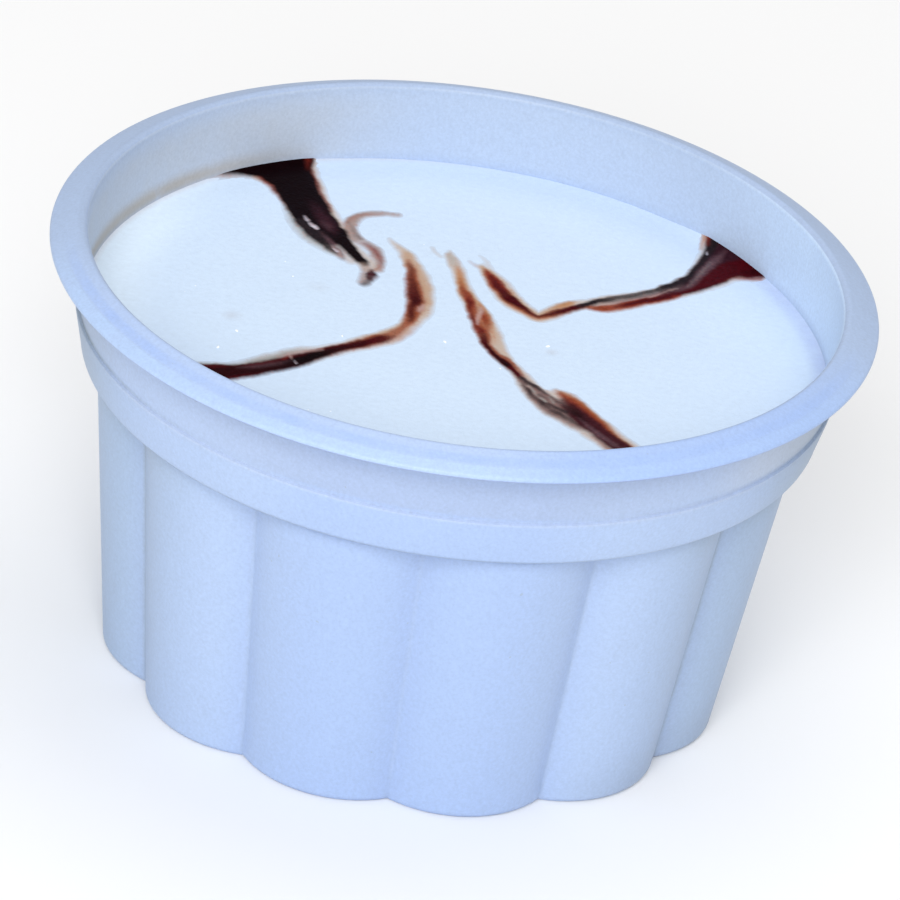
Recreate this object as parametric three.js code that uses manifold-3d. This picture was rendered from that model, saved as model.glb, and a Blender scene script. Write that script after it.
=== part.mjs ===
// A single-serve gelato cup: a thin moulded cup with a fluted side, a plain collar and a
// curled lip, filled with cream gelato that has four chocolate ripples in its surface.
// Millimetres, +Z up. The origin is the centre of the foot, on the surface it stands on.

import * as THREE from 'three';
import { mergeVertices } from 'three/addons/utils/BufferGeometryUtils.js';
import Module from 'manifold-3d';

// Cup, outside
const CUP_HEIGHT = 44;
const LIP_RADIUS = 40;
const FOOT_RADIUS = 30.9; // on the crest of a flute
const FOOT_ROUND = 0.8;
const WALL = 0.5;

// Base: a raised middle inside the ring that the cup stands on
const BASE_RISE = 1.2;
const BASE_RADIUS = 24.5;
const BASE_SLOPE = 1; // radial run of the step from the raised middle to the ring

// Flutes: round lobes that meet in sharp valleys
const FLUTES = 12;
const FLUTE_DEPTH_FOOT = 2.2;
const FLUTE_DEPTH_SHOULDER = 2.4;
const SHOULDER_HEIGHT = 31.2;
const SHOULDER_RADIUS = 34.4;
const SHOULDER_ROUND = 1.2;
const SHOULDER_BEND = 60; // degrees that the crest turns inwards before the collar

// Collar: a plain band above the flutes, stepped in half way up
const COLLAR_FOOT_RADIUS = 36;
const COLLAR_ROUND = 0.8;
const COLLAR_STEP_HEIGHT = 36.2;
const COLLAR_STEP_RADIUS = 36.9;
const COLLAR_STEP = 0.3;
const COLLAR_TOP_RADIUS = 36.9;

// Lip: slopes down and out from the crown to a rounded edge, and is hollow underneath
const CROWN_RADIUS = 37;
const LIP_SLOPE = 23; // degrees below level
const LIP_EDGE_ROUND = 0.35;
const LIP_HOLLOW_RISE = 0.5;

// Contents
const GELATO_LEVEL = 35.5;
const MENISCUS = 0.25; // rise of the gelato where it meets the wall
const MENISCUS_RUN = 1.6;
const RIPPLE_DEPTH = 1.8;
const GAP = 0.3; // clearance between pieces that touch

// Facets
const FACETS_PER_FLUTE = 8;
const SEGMENTS = FLUTES * FACETS_PER_FLUTE;
const RIPPLE_STEPS = 22;

// The ripples run from their tips near the middle to the wall, where they spread out.
// Each strand is a list of [x, y, width] stations in plan; the last one is past the wall.
const RIPPLES = {
  ripple_back_left: [
    [
      [-9.9, 7.4, 1.4],
      [-9.4, 10.2, 3.2],
      [-11.4, 14, 4.6],
      [-14.4, 18.6, 4.6],
      [-17.2, 24, 4.8],
      [-19.4, 28.6, 7.4],
      [-22.8, 35.5, 17],
    ],
    [
      [-7.7, 23.2, 0.8],
      [-10.2, 22.7, 1.1],
      [-12, 21, 1.5],
      [-13.4, 18, 1.6],
    ],
  ],
  ripple_front_left: [
    [
      [-8.1, 17.7, 0.5],
      [-5.4, 13, 2.1],
      [-4.2, 6.6, 2.8],
      [-4.6, 0.4, 2.4],
      [-8, -4.4, 2.2],
      [-14.6, -9.8, 2.5],
      [-22.4, -15.2, 3.6],
      [-32.5, -21.6, 7],
    ],
  ],
  ripple_front_right: [
    [
      [-3.2, 18, 0.9],
      [-0.8, 12, 1.7],
      [1.4, 4.8, 2.5],
      [4.2, -2.4, 1.7],
      [8.2, -8.8, 2.2],
      [12.4, -12.8, 3.7],
      [18.6, -19.2, 3.7],
      [27.5, -28.5, 6],
    ],
  ],
  ripple_right: [
    [
      [0.6, 15.4, 0.8],
      [3.4, 11, 2.5],
      [7.6, 6.4, 1.8],
      [13.2, 10.2, 1.8],
      [20, 15.6, 2.5],
      [24.2, 20.2, 4.8],
      [30.5, 27, 16],
    ],
  ],
};

const wasm = await Module();
wasm.setup();

// One circle of a turned piece. flute says how far it follows the flutes, from 0 to 1.
function row(radius, height, flute = 0) {
  return { radius, height, flute };
}

// Rows along an arc in the profile's plane, with angles in degrees counted from outwards.
// A rise that differs from the width makes the arc elliptical.
function arcRows([radius, height], width, from, to, steps, flute = 0, rise = width) {
  return Array.from({ length: steps + 1 }, (unused, step) => {
    const angle = THREE.MathUtils.degToRad(THREE.MathUtils.lerp(from, to, step / steps));
    return row(radius + width * Math.cos(angle), height + rise * Math.sin(angle), flute);
  });
}

// The side of the cup from the middle of its base up to its collar. An inset of 0 gives the
// outside, WALL the inside and WALL + GAP the clearance round the contents.
function sideRows(inset) {
  const bend = THREE.MathUtils.degToRad(SHOULDER_BEND);
  const shoulder = [SHOULDER_RADIUS - SHOULDER_ROUND, SHOULDER_HEIGHT - SHOULDER_ROUND * Math.sin(bend)];
  const neck = shoulder[0] + SHOULDER_ROUND * Math.cos(bend);
  const ledge = SHOULDER_HEIGHT + inset;
  const foot = [FOOT_RADIUS - FOOT_ROUND - inset, FOOT_ROUND + inset];
  const collarFoot = [COLLAR_FOOT_RADIUS - COLLAR_ROUND - inset, ledge + COLLAR_ROUND];
  return [
    row(0, BASE_RISE + inset),
    row(BASE_RADIUS, BASE_RISE + inset),
    row(BASE_RADIUS + BASE_SLOPE, inset),
    ...arcRows(foot, FOOT_ROUND, -90, 0, 2, 1),
    ...arcRows(shoulder, SHOULDER_ROUND - inset, 0, SHOULDER_BEND, 2, 1),
    row(neck - inset, SHOULDER_HEIGHT, 1),
    row(neck - inset / 2, ledge, 1),
    ...arcRows(collarFoot, COLLAR_ROUND, -90, 0, 2),
  ];
}

// The upper half of the collar, stepped in from the lower half.
function collarRows(inset) {
  const step = COLLAR_STEP_HEIGHT - inset;
  return [
    row(COLLAR_STEP_RADIUS - inset, step - COLLAR_STEP),
    row(COLLAR_STEP_RADIUS - COLLAR_STEP - inset, step),
  ];
}

// The lip, from the top of the collar outside to the top of the wall inside.
function lipRows() {
  const slope = THREE.MathUtils.degToRad(LIP_SLOPE);
  const crownRound = CROWN_RADIUS - (COLLAR_TOP_RADIUS - WALL);
  const crownHeight = CUP_HEIGHT - crownRound;
  const edgeRadius = LIP_RADIUS - LIP_EDGE_ROUND;
  const fall = (edgeRadius - CROWN_RADIUS) * Math.sin(slope) - crownRound + LIP_EDGE_ROUND;
  const edgeHeight = crownHeight - fall / Math.cos(slope);
  const hollow = (edgeRadius - LIP_EDGE_ROUND - COLLAR_TOP_RADIUS) / 2;
  return [
    ...arcRows([COLLAR_TOP_RADIUS + hollow, edgeHeight], hollow, 180, 30, 3, 0, LIP_HOLLOW_RISE),
    ...arcRows([edgeRadius, edgeHeight], LIP_EDGE_ROUND, 180, 450 - LIP_SLOPE, 5),
    ...arcRows([CROWN_RADIUS, crownHeight], crownRound, 90 - LIP_SLOPE, 180, 4),
  ];
}

// The radius of a row at an angle: an arc from valley to valley that bows out to the crest.
function flutedRadius({ radius, height, flute }, angle) {
  if (flute === 0) {
    return radius;
  }
  const share = height / SHOULDER_HEIGHT;
  const depth = flute * THREE.MathUtils.lerp(FLUTE_DEPTH_FOOT, FLUTE_DEPTH_SHOULDER, share);
  const valley = radius - depth;
  const half = Math.PI / FLUTES;
  const fromCrest = THREE.MathUtils.euclideanModulo(angle, 2 * half) - half;
  const centre = (radius ** 2 - valley ** 2) / (2 * (radius - valley * Math.cos(half)));
  const bow = radius - centre;
  return centre * Math.cos(fromCrest) + Math.sqrt(bow ** 2 - (centre * Math.sin(fromCrest)) ** 2);
}

// Merges shared corners and drops the empty triangles on the axis, so the mesh is closed.
function closed(geometry) {
  geometry.deleteAttribute('normal');
  geometry.deleteAttribute('uv');
  const merged = mergeVertices(geometry);
  const corners = merged.index.array;
  const kept = [];
  for (let at = 0; at < corners.length; at += 3) {
    const triangle = Array.from(corners.slice(at, at + 3));
    if (new Set(triangle).size === 3) {
      kept.push(...triangle);
    }
  }
  merged.setIndex(kept);
  return merged;
}

// Turns rows about +Z into a closed geometry, with a valley of the flutes on -Y.
function turned(rows) {
  const profile = rows.map(({ radius, height }) => new THREE.Vector2(radius, height));
  const geometry = new THREE.LatheGeometry(profile, SEGMENTS);
  const position = geometry.attributes.position;
  for (let index = 0; index < position.count; index += 1) {
    const circle = rows[index % rows.length];
    const facet = Math.floor(index / rows.length) % SEGMENTS;
    const angle = (facet / SEGMENTS) * 2 * Math.PI;
    const radius = flutedRadius(circle, angle);
    position.setXYZ(index, radius * Math.sin(angle), circle.height, radius * Math.cos(angle));
  }
  geometry.rotateX(Math.PI / 2);
  return closed(geometry);
}

function toSolid(geometry) {
  return new wasm.Manifold(new wasm.Mesh({
    numProp: 3,
    vertProperties: new Float32Array(geometry.attributes.position.array),
    triVerts: new Uint32Array(geometry.index.array),
  }));
}

function toGeometry(solid) {
  const mesh = solid.getMesh();
  const geometry = new THREE.BufferGeometry();
  geometry.setAttribute('position', new THREE.BufferAttribute(mesh.vertProperties, 3));
  geometry.setIndex(new THREE.BufferAttribute(mesh.triVerts, 1));
  return geometry;
}

function makeCupGeometry() {
  const inside = [...sideRows(WALL), ...collarRows(WALL)].reverse();
  return turned([...sideRows(0), ...collarRows(0), ...lipRows(), ...inside]);
}

// The whole filling, before the ripples are cut out of it.
function makeFillingSolid() {
  const edge = COLLAR_STEP_RADIUS - COLLAR_STEP - WALL - GAP;
  return toSolid(turned([
    ...sideRows(WALL + GAP),
    row(edge, GELATO_LEVEL + MENISCUS),
    row(edge - MENISCUS_RUN / 2, GELATO_LEVEL + MENISCUS / 4),
    row(edge - MENISCUS_RUN, GELATO_LEVEL),
    row(0, GELATO_LEVEL),
  ]));
}

// The outline in plan of a strand whose width follows its stations, grown by a margin.
function strandShape(stations, margin) {
  const points = stations.map(([x, y, width]) => new THREE.Vector3(x, y, width));
  const curve = new THREE.CatmullRomCurve3(points);
  const outline = [];
  for (let step = 0; step <= RIPPLE_STEPS; step += 1) {
    const share = step / RIPPLE_STEPS;
    const centre = curve.getPoint(share);
    const along = curve.getTangent(share).setZ(0).normalize();
    const half = centre.z / 2 + margin;
    const reach = margin * (2 * share - 1);
    const x = centre.x + along.x * reach;
    const y = centre.y + along.y * reach;
    outline.push(new THREE.Vector2(x - along.y * half, y + along.x * half));
    outline.unshift(new THREE.Vector2(x + along.y * half, y - along.x * half));
  }
  return new THREE.Shape(outline);
}

// An upright block over a ripple's outline, from its underside to clear of the filling.
function rippleBlock(strands, margin) {
  const bottom = GELATO_LEVEL - RIPPLE_DEPTH - margin;
  const blocks = strands.map((stations) => {
    const options = { depth: CUP_HEIGHT - bottom, bevelEnabled: false };
    const geometry = new THREE.ExtrudeGeometry(strandShape(stations, margin), options);
    geometry.translate(0, 0, bottom);
    return toSolid(closed(geometry));
  });
  return blocks.reduce((joined, block) => joined.add(block));
}

function makePiece(name, geometry, material) {
  geometry.computeVertexNormals();
  const mesh = new THREE.Mesh(geometry, material);
  mesh.name = name;
  return mesh;
}

function cupPlastic() {
  return new THREE.MeshStandardMaterial({ color: 0xd3dff8, roughness: 0.4, metalness: 0 });
}

function creamGelato() {
  return new THREE.MeshStandardMaterial({ color: 0xeff6ff, roughness: 0.6, metalness: 0 });
}

function chocolate() {
  return new THREE.MeshStandardMaterial({ color: 0x2a0f0c, roughness: 0.2, metalness: 0 });
}

const gelatoCup = new THREE.Group();
gelatoCup.name = 'gelato_cup';
gelatoCup.add(makePiece('cup', makeCupGeometry(), cupPlastic()));

const filling = makeFillingSolid();
let gelato = filling;
for (const [name, strands] of Object.entries(RIPPLES)) {
  const ripple = filling.intersect(rippleBlock(strands, 0));
  gelato = gelato.subtract(rippleBlock(strands, GAP));
  gelatoCup.add(makePiece(name, toGeometry(ripple), chocolate()));
}
gelatoCup.add(makePiece('gelato', toGeometry(gelato), creamGelato()));

export default gelatoCup;
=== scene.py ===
"""A single-serve gelato cup: a thin fluted cup, cream gelato and four chocolate ripples."""

import math
import random

import bpy
import numpy as np
from bpy.props import FloatProperty, FloatVectorProperty, IntProperty, PointerProperty
from mathutils import Matrix, Vector, noise


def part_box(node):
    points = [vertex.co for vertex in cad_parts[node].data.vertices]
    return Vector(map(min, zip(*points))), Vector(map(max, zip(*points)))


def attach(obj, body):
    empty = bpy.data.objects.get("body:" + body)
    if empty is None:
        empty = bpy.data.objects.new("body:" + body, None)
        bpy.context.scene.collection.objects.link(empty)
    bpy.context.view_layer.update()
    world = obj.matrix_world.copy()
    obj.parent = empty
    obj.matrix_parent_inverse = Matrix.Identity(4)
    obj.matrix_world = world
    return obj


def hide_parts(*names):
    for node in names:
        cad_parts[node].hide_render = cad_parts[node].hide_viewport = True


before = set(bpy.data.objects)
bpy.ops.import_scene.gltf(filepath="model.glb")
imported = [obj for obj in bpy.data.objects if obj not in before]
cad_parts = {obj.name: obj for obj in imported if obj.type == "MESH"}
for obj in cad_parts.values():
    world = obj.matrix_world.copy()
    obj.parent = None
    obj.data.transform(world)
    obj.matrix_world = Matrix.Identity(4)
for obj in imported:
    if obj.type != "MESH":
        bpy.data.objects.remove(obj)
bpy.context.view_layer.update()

bl_info = {
    "name": "Gelato cup",
    "version": (1, 0, 0),
    "blender": (4, 5, 0),
    "location": "View3D > Sidebar > Gelato",
    "description": "Builds a fluted cup of cream gelato with chocolate ripples",
    "category": "Add Mesh",
}

MM = 0.001
CUP_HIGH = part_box("cup")[1]

FLUTES = 12
FACETS = 16  # facets from one valley of the flutes to the next
SPOKES = FLUTES * FACETS
HALF_FLUTE = math.pi / FLUTES
SAME_ANGLE = 0.004  # angles closer than this are one column of the side

FOOT_ROUND = 0.8 * MM
BASE_HEIGHT = 1.2 * MM  # the raised middle of the base
SIDE_RISE = 29.4 * MM  # from the foot's rounding to the shoulder's
SIDE_ROWS = 9
SHOULDER_ROUND = 1.2 * MM
LEDGE_HEIGHT = 31.2 * MM  # the underside of the collar
COLLAR_ROUND = 0.8 * MM
BAND_RADIUS = 36.9 * MM  # the collar above its step
CROWN_ROUND = 0.6 * MM  # the lip's inner corner
EDGE_ROUND = 0.35 * MM  # the lip's outer edge
LIP_SLOPE = math.radians(23)

RIM_START = 33.4 * MM  # where the gelato's surface starts to rise to the wall
RIM_RUN = 2.98 * MM
SURFACE_RINGS = 46
WALL_REACH = 36.36 * MM  # where the sauce stops at the wall
WALL_FACET = math.radians(3.75)
DRAWN_IN = 0.978  # how far the sauce's underside draws in, to follow the wall

STRIP_COLUMN = 0.16  # length and width of a strip's faces, in millimetres
STRIP_ROW = 0.2
FEWEST_ROWS = 24
STRIP_DROP = 0.004 * MM  # how much lower each further strip of a ripple lies
COURSE_STEP = 0.1  # between the points of a stroke's course, in millimetres
WAVER_SEED = 7  # keeps the waver of the sauce's edges the same each time it is built


# ---------------------------------------------------------------- sizes and colours


class CupSettings(bpy.types.PropertyGroup):
    height: FloatProperty(
        name="Height",
        description="Height of the cup over its lip",
        default=CUP_HIGH.z,
        unit="LENGTH",
    )
    lip_radius: FloatProperty(
        name="Lip radius",
        description="Outer radius of the lip",
        default=CUP_HIGH.x,
        unit="LENGTH",
    )
    foot_radius: FloatProperty(
        name="Foot radius",
        description="Radius at the foot on a flute's crest",
        default=30.9 * MM,
        unit="LENGTH",
    )
    shoulder_radius: FloatProperty(
        name="Shoulder radius",
        description="Radius of a flute's crest at its top",
        default=34.4 * MM,
        unit="LENGTH",
    )
    wall: FloatProperty(
        name="Wall",
        description="Thickness of the moulding",
        default=0.5 * MM,
        unit="LENGTH",
    )
    flute_depth: FloatProperty(
        name="Flute depth",
        description="Depth of a valley as a share of the radius",
        default=0.0705,
        subtype="FACTOR",
    )
    crease: FloatProperty(
        name="Crease",
        description="Width of the rounding along a valley",
        default=0.3 * MM,
        unit="LENGTH",
    )
    plastic: FloatVectorProperty(
        name="Plastic",
        description="Colour of the moulding",
        subtype="COLOR",
        default=(0.405, 0.52, 0.745),
    )
    # Painted shade: the sides are painted darker and greyer, where they turn away from the light.
    shaded_flank: FloatVectorProperty(
        name="Flank",
        description="Colour of the moulding at the sides",
        subtype="COLOR",
        default=(0.36, 0.47, 0.65),
    )
    # Painted shade: above the gelato no cream lights the thin wall from behind, so the wall there is painted
    # greyer.
    shade: FloatVectorProperty(
        name="Clear plastic",
        description="Colour where no gelato lies behind",
        subtype="COLOR",
        default=(0.40, 0.495, 0.68),
    )
    # Painted light: the inside of the collar is painted lighter than the outside.
    inner: FloatVectorProperty(
        name="Inner plastic",
        description="Colour inside the collar",
        subtype="COLOR",
        default=(0.47, 0.565, 0.73),
    )


class GelatoSettings(bpy.types.PropertyGroup):
    level: FloatProperty(
        name="Level",
        description="Height of the surface",
        default=35.5 * MM,
        unit="LENGTH",
    )
    meniscus: FloatProperty(
        name="Meniscus",
        description="Greatest rise of the surface at the wall",
        default=0.65 * MM,
        unit="LENGTH",
    )
    cream: FloatVectorProperty(
        name="Cream",
        description="Colour of the gelato",
        subtype="COLOR",
        default=(0.625, 0.75, 0.91),
    )
    crumbs: IntProperty(
        name="Crumbs",
        description="Number of small frost crumbs on the surface",
        default=12,
    )


class RippleSettings(bpy.types.PropertyGroup):
    depth: FloatProperty(
        name="Depth",
        description="Depth of the sauce",
        default=1.8 * MM,
        unit="LENGTH",
    )
    swell: FloatProperty(
        name="Swell",
        description="Height of the sauce above the gelato",
        default=0.14 * MM,
        unit="LENGTH",
    )


class StageSettings(bpy.types.PropertyGroup):
    floor: FloatVectorProperty(
        name="Floor",
        description="Colour of the floor",
        subtype="COLOR",
        default=(0.95, 0.95, 0.95),
    )
    key: FloatProperty(
        name="Key light",
        description="Power of the large soft light",
        default=8.5,
        unit="POWER",
    )
    top: FloatProperty(
        name="Top light",
        description="Power of the light overhead",
        default=3.0,
        unit="POWER",
    )
    fill: FloatProperty(
        name="Fill light",
        description="Strength of the light from all round",
        default=0.5,
    )
    lens: FloatProperty(
        name="Lens",
        description="Focal length",
        default=233.9,
        subtype="DISTANCE_CAMERA",
    )


# ---------------------------------------------------------------- materials


class Signal:
    """A socket of a shader. Python's operators on it add Math nodes."""

    def __init__(self, finish, socket):
        self.finish = finish
        self.socket = socket

    def _maths(self, operation, *values):
        return self.finish.node("ShaderNodeMath", {"operation": operation}, dict(enumerate(values)))

    def __add__(self, other):
        return self._maths("ADD", self, other)

    def __radd__(self, other):
        return self._maths("ADD", other, self)

    def __sub__(self, other):
        return self._maths("SUBTRACT", self, other)

    def __rsub__(self, other):
        return self._maths("SUBTRACT", other, self)

    def __mul__(self, other):
        return self._maths("MULTIPLY", self, other)

    def __rmul__(self, other):
        return self._maths("MULTIPLY", other, self)

    def __truediv__(self, other):
        return self._maths("DIVIDE", self, other)

    def __pow__(self, other):
        return self._maths("POWER", self, other)

    def __abs__(self):
        return self._maths("ABSOLUTE", self)

    def angle(self, along):
        """The angle round the upright axis, of this as x and another value as y."""
        return self._maths("ARCTAN2", along, self)

    def fraction(self):
        return self._maths("FRACT", self)

    def clip(self):
        """The signal held between 0 and 1."""
        return self.finish.node("ShaderNodeClamp", {}, {0: self})

    def rise(self, low, high):
        """0 up to low and 1 from high on, smooth between."""
        settings = {"interpolation_type": "SMOOTHSTEP"}
        return self.finish.node("ShaderNodeMapRange", settings, {0: self, 1: low, 2: high, 3: 0.0, 4: 1.0})


class Finish:
    """A material that is built node by node, with a colour laid on coat by coat."""

    def __init__(self, name):
        self.material = bpy.data.materials.new(name)
        self.material.use_nodes = True
        self.nodes = self.material.node_tree.nodes
        self.links = self.material.node_tree.links
        self.nodes.clear()
        self.colour = None

    def node(self, kind, settings, values, output=0):
        """Adds a node, sets it up, feeds its sockets and gives one output."""
        made = self.nodes.new(kind)
        for name, value in settings.items():
            setattr(made, name, value)
        for key, value in values.items():
            if isinstance(value, Signal):
                self.links.new(value.socket, made.inputs[key])
            else:
                made.inputs[key].default_value = value
        return Signal(self, made.outputs[output])

    def place(self):
        """Object coordinates in millimetres."""
        raw = self.node("ShaderNodeTexCoord", {}, {}, "Object")
        return self.node("ShaderNodeMapping", {}, {"Vector": raw, "Scale": (1 / MM, 1 / MM, 1 / MM)})

    def axes(self, vector):
        return [self.node("ShaderNodeSeparateXYZ", {}, {0: vector}, axis) for axis in ("X", "Y", "Z")]

    def noise(self, vector, scale, detail=2.0, roughness=0.5):
        """Soft noise between 0 and 1. The scale is its number of waves in a millimetre."""
        values = {"Vector": vector, "Scale": scale, "Detail": detail, "Roughness": roughness}
        return self.node("ShaderNodeTexNoise", {}, values)

    def attribute(self, name, output):
        """A value that the piece's own points carry."""
        return self.node("ShaderNodeAttribute", {"attribute_name": name}, {}, output)

    def mix(self, share, first, second, blend="MIX"):
        """A colour between two colours."""
        settings = {"data_type": "RGBA", "blend_type": blend}
        return self.node("ShaderNodeMix", settings, {0: share, 6: first, 7: second}, 2)

    def coat(self, share, colour):
        """Lays a colour over the colour so far, as strongly as the share says."""
        self.colour = self.mix(share, self.colour, rgba(colour))

    def grained(self, light):
        """Makes the colour so far lighter or darker, by a signal near 1."""
        tint = self.node("ShaderNodeCombineColor", {}, {0: light, 1: light, 2: light})
        self.colour = self.mix(1.0, self.colour, tint, "MULTIPLY")

    def bump(self, height, strength, distance, normal=None):
        values = {"Height": height, "Strength": strength, "Distance": distance}
        if normal is not None:
            values["Normal"] = normal
        return self.node("ShaderNodeBump", {}, values)

    def surface(self, values):
        """Ends the material in a shader with these sockets."""
        shader = self.node("ShaderNodeBsdfPrincipled", {}, values)
        end = self.nodes.new("ShaderNodeOutputMaterial")
        self.links.new(shader.socket, end.inputs["Surface"])
        return self.material


class Spot:
    """Where a point lies, as signals in millimetres: across, along, height and radius."""

    def __init__(self, finish):
        self.place = finish.place()
        self.across, self.along, self.height = finish.axes(self.place)
        self.radius = (self.across * self.across + self.along * self.along) ** 0.5


def rgba(colour):
    return (*colour, 1.0)


def near(signal, centre, reach):
    """1 where a signal is at a centre, falling to 0 at a reach from it."""
    return (1 - abs(signal - centre) / reach).clip()


# Tints of the moulding, most of them painted light or painted shade: where light would shine through it,
# gather on it or be kept from it.
TINTS = {
    "foot_shade_right": (0.32, 0.40, 0.54),
    "front_shade": (0.345, 0.465, 0.74),
    "band": (0.365, 0.45, 0.635),
    "band_light_aside": (0.44, 0.555, 0.78),
    "band_light_right": (0.51, 0.575, 0.68),
    "collar_ends_shade": (0.33, 0.39, 0.45),
    "below_collar_shade": (0.31, 0.38, 0.44),
    "step_glow": (0.52, 0.60, 0.76),
    "inside_right_light": (0.62, 0.76, 0.96),
    "inside_left_shade": (0.51, 0.56, 0.64),
    "inside_low": (0.42, 0.37, 0.31),
    "lip": (0.40, 0.51, 0.72),
    "lip_front": (0.425, 0.545, 0.80),
    "lip_band_shade": (0.355, 0.485, 0.80),
    "lip_edge_highlight": (0.43, 0.58, 0.84),
    "lip_groove_shade": (0.37, 0.49, 0.72),
    "lip_right_shade": (0.33, 0.47, 0.80),
    "lip_crown_shade": (0.34, 0.43, 0.60),
    "lip_beneath_shade": (0.27, 0.32, 0.56),
    # Painted shade beside the valleys and in the crease lines.
    "valley": (0.36, 0.455, 0.69),
    "crease": (0.25, 0.29, 0.28),
    "speck": (0.30, 0.34, 0.36),
}


class CupSpot(Spot):
    """A point of the cup, with how far it lies inside or outside the collar and how far into the painted
    shade at the sides.
    """

    def __init__(self, finish):
        super().__init__(finish)
        self.wander = finish.noise(self.place, 0.35, 3.0, 0.6)
        self.above = self.height.rise(35.0, 37.0)
        self.within = self.radius.rise(36.56, 36.48) * self.above
        self.outside = 1 - self.within
        aside = abs(self.across) - self.height.rise(30.5, 31.5) * 7.0
        # How far a point lies in the painted shade of the sides.
        self.shaded_flank = aside.rise(19.0, 31.0) * (1 - self.height.rise(39.0, 41.0)) * self.outside


def tint_outside(finish, spot, sizes):
    """The flutes and the collar: painted shade, deeper blue, at the front; painted shade, greyer, above the
    gelato, at the sides, by the foot, on the band under the lip and under the collar; painted light towards
    the band's sides and along the step.
    """
    aside = abs(spot.across)
    cloudy = finish.noise(spot.place, 0.12, 3.0, 0.6)
    finish.colour = rgba(sizes.plastic)
    finish.coat(((cloudy - 0.45) * 2.0).clip() * 0.3, sizes.shade)
    # Painted shade above the gelato.
    finish.coat(spot.above * 0.8, sizes.shade)
    # Painted shade at the sides.
    finish.coat(spot.shaded_flank, sizes.shaded_flank)

    # Painted shade low down at the right, by the floor.
    foot = (1 - spot.height.rise(0.5, 7.0)) * spot.across.rise(12.0, 24.0)
    finish.coat(foot * 0.5, TINTS["foot_shade_right"])
    # Painted shade at the front, deeper blue and darker, against the strong front light.
    front = (1 - aside.rise(8.0, 19.0)) * (1 - spot.height.rise(40.0, 41.0)) * spot.outside
    finish.coat(front * 0.6, TINTS["front_shade"])

    # The collar band under the lip: painted shade where the lip overhangs it, painted light towards the sides
    # and at the right.
    band = spot.height.rise(36.3, 36.7) * (1 - spot.height.rise(39.5, 41.0)) * spot.outside
    short_of_ends = 1 - aside.rise(34.5, 36.5)
    finish.coat(band * (1 - spot.shaded_flank) * 0.7, TINTS["band"])
    finish.coat(band * aside.rise(10.0, 28.0) * short_of_ends * 0.7, TINTS["band_light_aside"])
    right = spot.across.rise(24.0, 31.0) * (1 - spot.across.rise(34.5, 36.5))
    finish.coat(band * right * 0.6, TINTS["band_light_right"])

    # Painted shade on the collar at the far sides.
    ends = aside.rise(29.0, 37.0) * spot.height.rise(30.5, 31.5)
    ends = ends * (1 - spot.height.rise(39.0, 41.0)) * spot.outside
    finish.coat(ends * 0.5, TINTS["collar_ends_shade"])
    # Painted shade under the collar at the sides.
    below = spot.height.rise(26.0, 31.0) * (1 - spot.height.rise(31.2, 31.4)) * spot.shaded_flank
    finish.coat(below * 0.4, TINTS["below_collar_shade"])
    # Painted light along the collar's step, softening its shade line.
    glow = near(spot.height, 36.1, 0.3) * spot.outside * (1 - aside.rise(28.0, 36.0))
    finish.coat(glow * 0.6, TINTS["step_glow"])


def tint_inside(finish, spot, sizes):
    """Inside the collar: painted light overall and more on the right, painted shade greyer on the left,
    warmest low down at the far left.
    """
    leftwards = 0 - spot.across
    left = leftwards.rise(4.0, 22.0) * spot.along.rise(-20.0, 2.0) * (1 - spot.height.rise(41.0, 43.6) * 0.6)
    low = (1 - spot.height.rise(36.2, 38.2)) * leftwards.rise(16.0, 30.0)
    # Painted light inside the collar.
    finish.coat(spot.within, sizes.inner)
    # Painted light on the right and painted shade on the left of the inner wall.
    finish.coat(spot.within * spot.across.rise(20.0, 38.0), TINTS["inside_right_light"])
    finish.coat(spot.within * left * (0.6 + 0.6 * spot.wander).clip(), TINTS["inside_left_shade"])
    finish.coat(spot.within * left * low * (spot.wander * 2.4).clip(), TINTS["inside_low"])


def tint_lip(finish, spot):
    """The lip: paler at the front; towards its edge a band of painted shade, a painted shade line and a
    painted highlight; painted shade at the front right, on the crown away from the front, and beneath.
    """
    radius = spot.radius
    top = radius.rise(36.7, 37.0) * spot.height.rise(40.6, 41.4)
    front = (0 - spot.along).rise(4.0, 22.0)
    uneven = (spot.wander * 1.6 - 0.1).clip() * front
    band = radius.rise(37.6, 38.1) * (1 - radius.rise(38.6, 38.95))
    finish.coat(top * 0.8, TINTS["lip"])
    finish.coat(top * front * 0.8, TINTS["lip_front"])
    # At the front: painted shade in a band on the lip's slope, a painted highlight at its edge and a painted
    # shade line between.
    finish.coat(top * band * uneven * 0.9, TINTS["lip_band_shade"])
    finish.coat(top * radius.rise(38.75, 39.0) * uneven * 0.8, TINTS["lip_edge_highlight"])
    finish.coat(top * near(radius, 38.85, 0.12) * uneven * 0.5, TINTS["lip_groove_shade"])
    # Painted shade at the front right of the lip.
    finish.coat(top * front * spot.across.rise(3.0, 16.0) * 0.6, TINTS["lip_right_shade"])

    # Painted shade on the crown away from the front, against its highlight.
    crown = near(radius, 36.9, 0.7) * spot.height.rise(42.6, 43.6) * (1 - front)
    crown = crown * (1 - spot.across.rise(12.0, 30.0))
    finish.coat(crown * 0.6, TINTS["lip_crown_shade"])
    # Painted shade under the lip.
    below_slope = 44.0 - (radius - 37.3) * 0.424 - spot.height
    beneath = below_slope.rise(0.35, 0.6) * radius.rise(37.6, 38.4)
    finish.coat(beneath * 0.7, TINTS["lip_beneath_shade"])


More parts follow.
